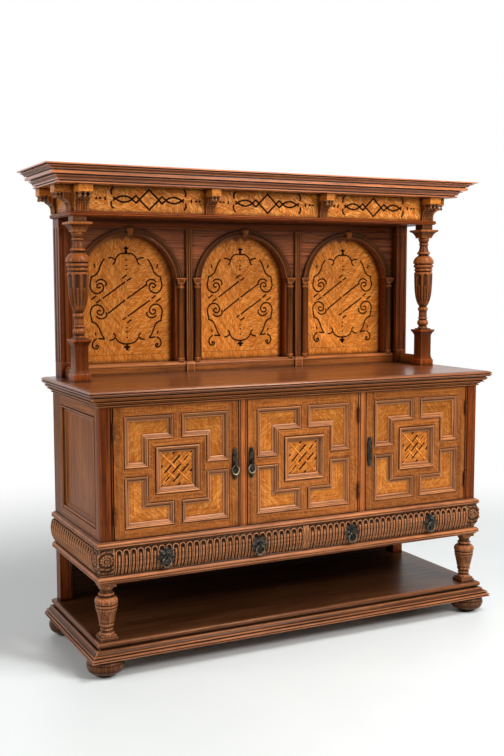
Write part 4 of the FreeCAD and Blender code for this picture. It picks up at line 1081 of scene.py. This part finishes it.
# Arcade. Oak stiles and a top rail stand in front of the panels and carry dark walnut spandrel boards,
# each sawn to an arch.
dark_walnut = polished_wood("dark_walnut", (92, 44, 22), (158, 88, 50), (40, 17, 7), 0.3, gloss=0.14)
arch_half, spring, head_z = 194.97, 1397, 1593
arcade = []
for side in (-1, 1):
    for near, far in ((arch_half, 311.37), (701.3, arcade_half)):
        arcade.append(plank((side * near, side * far), (8, 45), (rail_z, spring), "z", -0.15))
arcade.append(plank((-arcade_half, arcade_half), (45, 50), (head_z, soffit_z), "x", -0.1))
fitted("arcade_stiles", arcade, stained_oak, "arcade_frame")


def arc(half, rise, share):
    """A point on a flat arch, from its left spring (0) to its right (1)."""
    radius = (half * half + rise * rise) / (2 * rise)
    angle = (share - 0.5) * 2 * math.atan2(half, radius - rise)
    return radius * math.sin(angle), spring + rise - radius + radius * math.cos(angle)


spandrels = []
for left, right, middle in zip(bay_edges, bay_edges[1:], arch_middles):
    outline = [(left, spring)]
    outline += [(middle + x, z) for x, z in (arc(arch_half, 172, i / 36) for i in range(37))]
    outline += [(right, spring), (right, soffit_z), (left, soffit_z)]
    spandrels.append(sawn(outline, (8, 45), elevation, "x", 0.3))
fitted("walnut_spandrels", spandrels, dark_walnut, "arcade_spandrels", slot="dark_walnut")


# Pilasters and jambs. A three-reeded oak pilaster stands between the arches; a half column with a
# moulded impost carries each foot of an arch.
pilasters = []
for x in (-pilaster_x, pilaster_x):
    outline = [(-13.5, 45), *reeds(-13.5, 27, 57, 3), (13.5, 45)]
    pilasters.append(upright([(x + u, d) for u, d in outline], rail_z, head_z, 0.1))
fitted("reeded_pilasters", pilasters, bright_oak, "arcade_pilasters")

jamb = shaped(
    [
        (0, 1058), (16, 1058), (16, 1066, -1.6), (13, 1074), (12.5, 1080), (12.5, 1352), (15, 1356, -1.2),
        (15, 1363), (13, 1366), (13, 1377), (0, 1377),
    ],
    0.5, False,
)
impost = shaped([(-12, 1376), (-4, 1376, 1.0), (0, 1386), (0, 1390), (2, 1392), (2, 1397), (-12, 1397)], 0.4)
jambs = []
for middle in arch_middles:
    for x in (middle - 217.47, middle + 217.47):
        column = turned(jamb, x, 45, 32)
        bmesh.ops.bisect_plane(
            column, geom=column.verts[:] + column.edges[:] + column.faces[:], plane_co=(0, back(44), 0),
            plane_no=(0, 1, 0), clear_outer=True,
        )
        jambs.append(grained(column, "z", lathe_worn_and_painted_light(jamb, x, 45, 0.0)))
        jambs += mitred([(x - 17, 45), (x - 17, 62), (x + 17, 62), (x + 17, 45)], impost, plan, 0.0)
        jambs.append(plank((x - 6, x + 6), (45, 52), (1376.5, 1396.6), "x", 0.0, 0.4))
fitted("arch_jamb_columns", jambs, bright_oak, "arch_jambs")


# Arch mouldings. A bent oak moulding of two members, a bead and a hollow, follows each arch, with a
# carved keystone glued over its crown.
def round_arch(middle):
    """Grain that follows an arch round its middle."""
    return lambda p: (210 * math.atan2(p.x - middle, p.z - 1380), math.hypot(p.x - middle, p.z - 1380), p.y)


arch_bead = [(1, 45), (1, 52), (0.95, 54.4), (0.87, 55), (0.8, 54), (0.77, 51.5), (0.77, 45)]
arch_hollow = [
    (0.77, 45), (0.77, 52), (0.68, 53), (0.6, 52.6), (0.48, 50), (0.3, 49), (0.17, 49.4), (0.14, 52),
    (0.03, 52), (0, 51), (0, 45),
]
key_face = [(-10, 1566), (10, 1566), (14, 1597), (-14, 1597)]
key_nose = [(-8, 1573.8), (8, 1573.8), (11.2, 1591.8), (-11.2, 1591.8)]
bent = []
for middle in arch_middles:
    for section, tone in ((arch_bead, -1.2), (arch_hollow, -0.75)):
        rings = []
        for i in range(49):
            inner, outer = Vector(arc(196.97, 174, i / 48)), Vector(arc(226.97, 196, i / 48))
            spots = [(inner.lerp(outer, share), d) for share, d in section]
            rings.append([plan(middle + spot.x, d, spot.y) for spot, d in spots])
        bent.append(grained(built_up(rings), round_arch(middle), tone))
    levels = ((50, key_face), (61, key_face), (67, key_nose))
    keystone = [[plan(middle + x, d, z) for x, z in outline] for d, outline in levels]
    # The keystone is painted light: a painted highlight on its block.
    bent.append(grained(built_up(keystone), "z", 1.5))
fitted("bent_arch_mouldings", bent, bright_oak, "arch_mouldings")


# Front columns. A square oak pedestal, a turned column with a fluted vase, and a moulded square cap
# stand under each front corner of the cornice.
def stacked(levels, x, d, tone):
    """A square piece worked to a new width at each height."""
    rings = []
    for width, z in levels:
        w = width / 2
        rings.append([plan(x + a * w, d + b * w, z) for a, b in ((-1, -1), (1, -1), (1, 1), (-1, 1))])
    rub_and_light_tones = rubbed_and_painted_light([Vector((width / 2, z)) for width, z in levels])
    return grained(built_up(rings), "z", worn(rings, rub_and_light_tones, tone))


pedestal = shaped(
    [
        (60, 1015), (67, 1015), (67, 1040, 3.0), (52, 1060), (52, 1146, 2.0), (73, 1165), (73, 1172),
        (50, 1172), (48, 1173), (48, 1177),
    ],
    0.8, False,
)
column = [
    (0, 1176), (21, 1176), (21.5, 1179), (21, 1183), (17.5, 1185), (17.5, 1188), (20, 1190, -4.2), (20, 1212),
    (17, 1214.5), (17, 1216.5), (20.2, 1218), (20.6, 1220.5), (20.2, 1223), (17.8, 1225), (17.6, 1228),
    (17.6, 1248), (17.8, 1252), (20.5, 1254.5), (21.8, 1258), (21.8, 1264), (20.5, 1267), (16.5, 1269),
    (16.5, 1273), (19, 1276), (23.4, 1283), (27.8, 1293), (31.4, 1305), (34.2, 1318), (36.2, 1332),
    (37.5, 1346), (38.4, 1361), (39, 1376), (39.4, 1391), (39.6, 1404), (39.6, 1416), (39, 1419),
    (35.5, 1420.5), (35.5, 1423.5), (38.2, 1425.5), (39.4, 1430), (38.6, 1434.5), (36.6, 1436.5),
    (36.6, 1439), (41, 1441), (42.6, 1446), (41.4, 1451), (38.6, 1453), (38.6, 1455.5), (43.5, 1457.5),
    (44.6, 1461), (44, 1467), (41, 1475), (35.5, 1483), (28, 1489.5), (24, 1492), (22.5, 1493),
    (22.5, 1496.5), (28.5, 1498.5), (29, 1501), (28, 1503.5), (22.4, 1511), (19.5, 1519), (18.2, 1528),
    (18.2, 1533), (17, 1534.5), (17, 1536), (20.8, 1537.5), (21.6, 1540), (20.8, 1542.5), (17.8, 1544),
    (17.8, 1547), (20.5, 1553), (23.4, 1559), (24.2, 1562), (23.6, 1564.5), (21, 1566), (20.4, 1567),
    (0, 1567),
]
column_outline = shaped(column, 0.5, False)
close_column = []
for here, after in zip(column_outline, column_outline[1:]):
    parts = max(1, round(abs(after.y - here.y) / 3))
    close_column += [here.lerp(after, k / parts) for k in range(parts)]
close_column.append(column_outline[-1])
column_d = 238


def column_flute(angle, z):
    """Depth of the eight round-headed flutes of the vase, each with a reed let into its lower part."""
    side = abs((angle / math.tau * 8) % 1 - 0.5) * 2
    wide, reed, foot, head = 0.8, 0.4, 1287, 1411 - 13 * side * side
    if not foot < z < head or side > wide:
        return 0.0
    deep = 4.4 * math.sqrt(1 - (side / wide) ** 2) * min(1.0, (z - foot) / 12, (head - z) / 3 + 0.3)
    if side < reed and z < 1362 - 9 * side:
        deep -= 3.4 * math.sqrt(1 - (side / reed) ** 2) * min(1.0, (z - foot) / 12)
    return max(0.0, deep)


cap = shaped(
    [
        (46, 1567), (50, 1567), (50, 1570, 5.0), (86, 1594), (88, 1595), (88, 1602), (54, 1602), (52, 1603),
        (52, 1624),
    ],
    0.6, False,
)
pedestals, columns, caps = [], [], []
for x in (-column_x, column_x):
    pedestals.append(stacked(pedestal, x, column_d, -0.2))
    caps.append(stacked(cap, x, column_d, 0.05))
    shaft = turned(close_column, x, column_d, 128)
    tones, rule = [], lathe_worn_and_painted_light(close_column, x, column_d, -0.05)
    for v in shaft.verts:
        u, w = v.co.x - x, v.co.y - back(column_d)
        r, angle = math.hypot(u, w), math.atan2(w, u)
        deep = column_flute(angle, v.co.z)
        if 1505 < v.co.z < 1530:
            deep = 1.6 * abs(math.sin(6 * angle))
        # Painted shade in the flutes: the tone darkens with the depth of the cut.
        tones.append(rule(v.co) - 0.34 * deep)
        if r > 1:
            v.co = Vector((x + u * (r - deep) / r, back(column_d) + w * (r - deep) / r, v.co.z))
    columns.append(toned(grained(shaft, "z"), tones))
fitted("column_plinths", pedestals, stained_oak, "column_pedestals")
fitted("fluted_columns", columns, turned_oak, "upper_columns")
fitted("column_heads", caps, bright_oak, "column_caps")


# Entablature. A moulded oak soffit board rests on the columns; frieze boards of quartered oak stand on
# it, inlaid between the brackets.
soffit_edge = shaped(
    [
        (-7, 0), (-5.4, 0, 0.6), (-1, 4.4), (0, 5), (0, 8), (-2.2, 8.8), (-2.2, 10), (-0.4, 10.8, -1.8),
        (-6.8, 16.6), (-9, 16.6), (-10, 18), (-20, 18),
    ],
    0.5, False,
)
soffit = moulded_board(813.5, 275.5, soffit_z, soffit_edge, -0.05)
fitted("soffit", [soffit], stained_oak, "hutch_soffit")
hutch_depth, frieze_low, frieze_high = 263, 1642, 1736
frieze = []
# The three frieze bays get lighter to the right: painted light.
for left, middle, right, tone in (
    (-hutch_half, -497.5, -pilaster_x, 0.08),
    (-pilaster_x, 0, pilaster_x, 0.3),
    (pilaster_x, 497.5, hutch_half, 0.4),
):
    for ends, hand in (((left, middle), 1), ((middle, right), -1)):
        for low, rise in ((frieze_low, 1), (frieze_low + 47, -1)):
            leaf_board = plank(ends, (241, hutch_depth), (low, low + 47), "x", 0.0, 0.2)
            frieze.append(relaid(leaf_board, chevron(middle, hand * rise, 0.5), tone))
for side in (-1, 1):
    ends = (side * 779, side * hutch_half)
    frieze.append(plank(ends, (0, 241), (frieze_low, frieze_high), "y", -0.15, 0.3))
frieze_oak = polished_wood(
    "frieze_oak", (158, 82, 24), (198, 114, 40), (116, 56, 14), 0.34, (238, 174, 92), 0.55, worn=0.0
)
fitted("frieze_leaves", frieze, frieze_oak, "frieze_boards", slot="flecked_oak")
frieze_back = plank((-779, 779), (0, 10), (frieze_low, frieze_high), "x", 0.0, 0.3)
fitted("frieze_back", [frieze_back], dark_oak)

frieze_strokes = []
for middle in (-503.5, -2.0, 497.5):
    quarter = [
        [(-2, 39), (40, -1)], [(38, 0), (53, 14)], [(52, 14), (68, 0)],
        [(65, -2), (84, 13), (116, 13), (134, -1), (142, -6)],
    ]
    half = quarter + [[(x, -z) for x, z in stroke] for stroke in quarter] + [
        [(140, 42), (150, 35), (153, 24), (146, 16)], [(148, -9), (153, -18), (150, -28), (141, -35)],
        [(172, 6), (174, 0), (172, -6)], [(188, 0), (197, 0)], [(203, 0), (210, 0)],
    ]
    frieze_strokes += [[(middle + sign * x, z) for x, z in stroke] for stroke in half for sign in (-1, 1)]
lines = line_inlay(frieze_strokes, 7.4)
bmesh.ops.translate(lines, vec=(0, back(hutch_depth), 1690), verts=lines.verts)
fitted("frieze_inlay", [grained(lines, "x")], black_line, slot="dark_walnut")


# Brackets. Scrolled oak brackets glued to the frieze under the cornice, four to the front and two to
# each side: a plain block with two rows of turned drops under it, above a scroll that runs down into reeds.
bracket_line = shaped([(8, 1642), (8, 1652, 6.0), (27, 1682, -3.6), (34, 1704), (33, 1709)], 0.8, False)
drop = [
    (0, 1687), (2.6, 1687.8), (5.2, 1691), (5.6, 1693.6), (4.6, 1697), (2.8, 1700), (2.8, 1701.6),
    (5.8, 1704), (6.2, 1709), (0, 1709),
]


def along(line, share):
    """The point a share of the way along a bent line."""
    runs = [(b - a).length for a, b in zip(line, line[1:])]
    left = share * sum(runs)
    for run, a, b in zip(runs, line, line[1:]):
        if left <= run:
            return a.lerp(b, left / run)
        left -= run
    return line[-1]


def bracket_carving(s, t):
    """Six reeds run up the hollow, under a deep throat and two rows of petals; the throat is painted dark as
    shade.
    """
    reed = abs(math.sin(math.pi * 6 * s))
    edge = min(1.0, 14 * s, 14 * (1 - s))
    throat, petals = 0.46, 0.6
    if t < throat:
        return (2.4 * reed - 2.4) * min(1.0, (throat - t) * 12) * edge
    if t < petals:
        return -4.0 * edge * math.sin(math.pi * (t - throat) / (petals - throat))
    row = math.sin(math.pi * (t - petals) / 0.2)
    petal = abs(math.cos(math.pi * (3 * s + (0.5 if t > 0.8 else 0.0))))
    return (-2.6 + 3.4 * abs(row) * petal) * edge


def put(bm, place):
    """Sets a loose piece in its spot."""
    for v in bm.verts:
        v.co = place(*v.co)
    bmesh.ops.recalc_face_normals(bm, faces=bm.faces)


def bracket(width, place):
    """One bracket: place turns (across, out, up) into its spot on the frieze."""
    bm = bmesh.new()
    bmesh.ops.create_grid(bm, x_segments=48, y_segments=48, size=1)
    cuts = []
    for v in bm.verts:
        s, t = (v.co.x + 1) / 2, (v.co.y + 1) / 2
        cuts.append(bracket_carving(s, t))
        ahead = along(bracket_line, min(1.0, t + 0.02)) - along(bracket_line, max(0.0, t - 0.02))
        spot = along(bracket_line, t) + Vector((ahead.y, -ahead.x)).normalized() * cuts[-1]
        v.co = Vector(((s - 0.5) * width, spot.x, spot.y))
    backed(bm, lambda p: Vector((p.x, -1, p.z)))
    put(bm, place)
    # Painted light and shade: proud parts of the carving lighter, the cuts and the throat darker.
    toned(grained(bm, "z", 0.1), [0.45 + 0.32 * cut for cut in cuts])
    block = sawn_block((width, 66, 28), (0, 32, 1722), 1.2)
    put(block, place)
    drops = []
    for out in (42, 56):
        for s in (-width / 3, 0, width / 3):
            bead = turned(drop, s, back(out), 16)
            put(bead, place)
            drops.append(grained(bead, "z", 0.3))
    return bm, grained(block, "x", 0.15), drops


def on_front(middle):
    return lambda s, out, z: plan(middle + s, hutch_depth + out, z)


def on_side(side, middle):
    return lambda s, out, z: plan(side * (hutch_half + out), middle + s, z)


wide, slim = 55, 38.5
spots = [(wide, on_front(-769.5)), (slim, on_front(-pilaster_x)), (slim, on_front(pilaster_x))]
spots.append((wide, on_front(769.5)))
spots += [(wide, on_side(side, middle)) for side in (-1, 1) for middle in (231.5, 27.5)]
scrolls, blocks, drops = zip(*(bracket(width, place) for width, place in spots))
fitted("bracket_scrolls", scrolls, bright_oak, "brackets")
fitted("bracket_drops", sum(drops, []), trim_oak)
fitted("bracket_blocks", blocks, flecked_oak)


# Cornice. Three lengths of a deep oak moulding mitred round the front and sides, with a plain roof
# board behind; the flat on top is given a darker tone.
cornice = [
    (-22, 1736), (71, 1736), (75, 1737.2), (75, 1741.4), (68, 1742.2), (68, 1745.4), (76, 1746, 3.4),
    (88.5, 1758.6), (91, 1759), (91, 1761.4), (82, 1762), (82, 1764.6), (106, 1765.2), (106, 1775.4),
    (99, 1776.2), (99, 1779.4), (107.5, 1780, 2.6), (122, 1789.4), (124.5, 1790), (124.5, 1791.8),
    (118, 1792.4), (118, 1794.6), (135, 1795), (135, 1800), (130, 1800), (-22, 1800),
]
cornice_oak = polished_wood(
    "cornice_oak", (116, 60, 28), (164, 94, 48), (78, 38, 15), 0.26, worn=0.6, gloss=0.8
)
mouldings = mitred(round_body(hutch_half, hutch_depth), shaped(cornice, 0.5), plan, 1.0)
for moulding in mouldings:
    shade = moulding.verts.layers.float["tone"]
    for v in moulding.verts:
        inset = max(abs(v.co.x) - hutch_half, back(v.co.y) - hutch_depth)
        if v.co.z > 1799 and inset < 131:
            v[shade] = -0.5
fitted("cornice_moulding", mouldings, cornice_oak, "cornice")
left_plain(dark_oak, "hutch_roof")


# Floor, light and camera. A pale floor that fades to white, a white room, soft lamps round the front
# and one behind that the polish does not mirror, and the camera where the photograph was taken.
scene = bpy.context.scene
scene.view_settings.view_transform = "Standard"
floor_mesh = bmesh.new()
bmesh.ops.create_grid(floor_mesh, x_segments=2, y_segments=2, size=14)
mesh = bpy.data.meshes.new("floor")
floor_mesh.to_mesh(mesh)
floor_mesh.free()
floor = bpy.data.objects.new("floor", mesh)
scene.collection.objects.link(floor)
pale, tree, ground = new_finish("pale_floor")
place = coat(tree, "TexCoord", {}).outputs["Object"]
dust = coat(tree, "TexNoise", {"Vector": place, "Scale": 3.0, "Detail": 4.0}).outputs["Fac"]
tint = blended(tree, dust, stain(238, 243, 242), stain(245, 249, 248))
tree.links.new(tint, ground.inputs["Base Color"])
ground.inputs["Roughness"].default_value = 0.45
far = coat(tree, "VectorMath", {0: place}, operation="LENGTH").outputs["Value"]
fade = spread(tree, far, 1.3, 3.4, 0.0, 1.0, interpolation_type="SMOOTHSTEP")
seen = coat(tree, "LightPath", {}).outputs["Is Camera Ray"]
share = reckoned(tree, "MULTIPLY", fade, seen)
white = coat(tree, "Emission", {"Color": (1, 1, 1, 1), "Strength": 1.0}).outputs[0]
both = coat(tree, "MixShader", {0: share, 1: ground.outputs[0], 2: white}).outputs[0]
tree.links.new(both, tree.nodes["Material Output"].inputs["Surface"])
mesh.materials.append(pale)

world = bpy.data.worlds.new("white_room")
scene.world = world
world.use_nodes = True
tree = world.node_tree
room = tree.nodes["Background"]
room.inputs["Color"].default_value = (1.0, 0.99, 0.97, 1)
room.inputs["Strength"].default_value = 0.05
path = coat(tree, "LightPath", {}).outputs
shown = reckoned(tree, "MAXIMUM", path["Is Camera Ray"], path["Is Glossy Ray"])
shown = reckoned(tree, "MAXIMUM", shown, path["Is Transmission Ray"])
bright = coat(tree, "Background", {"Color": (1, 1, 1, 1), "Strength": 1.0}).outputs[0]
both = coat(tree, "MixShader", {0: shown, 1: room.outputs[0], 2: bright}).outputs[0]
tree.links.new(both, tree.nodes["World Output"].inputs["Surface"])


def lamp(name, place, aim, size, power):
    light = bpy.data.lights.new(name, "AREA")
    light.size = size
    light.energy = power
    lamp_object = bpy.data.objects.new(name, light)
    lamp_object.location = place
    lamp_object.rotation_euler = (Vector(aim) - Vector(place)).to_track_quat("-Z", "Y").to_euler()
    scene.collection.objects.link(lamp_object)
    return lamp_object


lamps = [
    lamp("ceiling", (1.1, -2.0, 4.2), (0.1, -0.4, 0.8), 1.8, 120),
    lamp("front", (2.1, -4.1, 3.2), (0, 0, 1.0), 1.2, 166),
    lamp("camera_side", (-2.6, -4.6, 2.4), (0, 0, 0.8), 1.6, 18),
    lamp("window", (-4.4, 0.0, 2.4), (-0.6, 0, 1.0), 3.0, 88),
    lamp("rear", (0.5, 4.4, 2.8), (0, 0, 1.0), 3.0, 55),
]
lamps[-1].visible_glossy = False

view = bpy.data.cameras.new("view")
view.lens = 49.15
view.sensor_width = 36
camera = bpy.data.objects.new("view", view)
camera.location = (-1.9171, -3.6376, 1.4003)
camera.rotation_euler = (math.radians(90 - 5.58), math.radians(0.10), math.radians(-26.62))
scene.collection.objects.link(camera)
scene.camera = camera
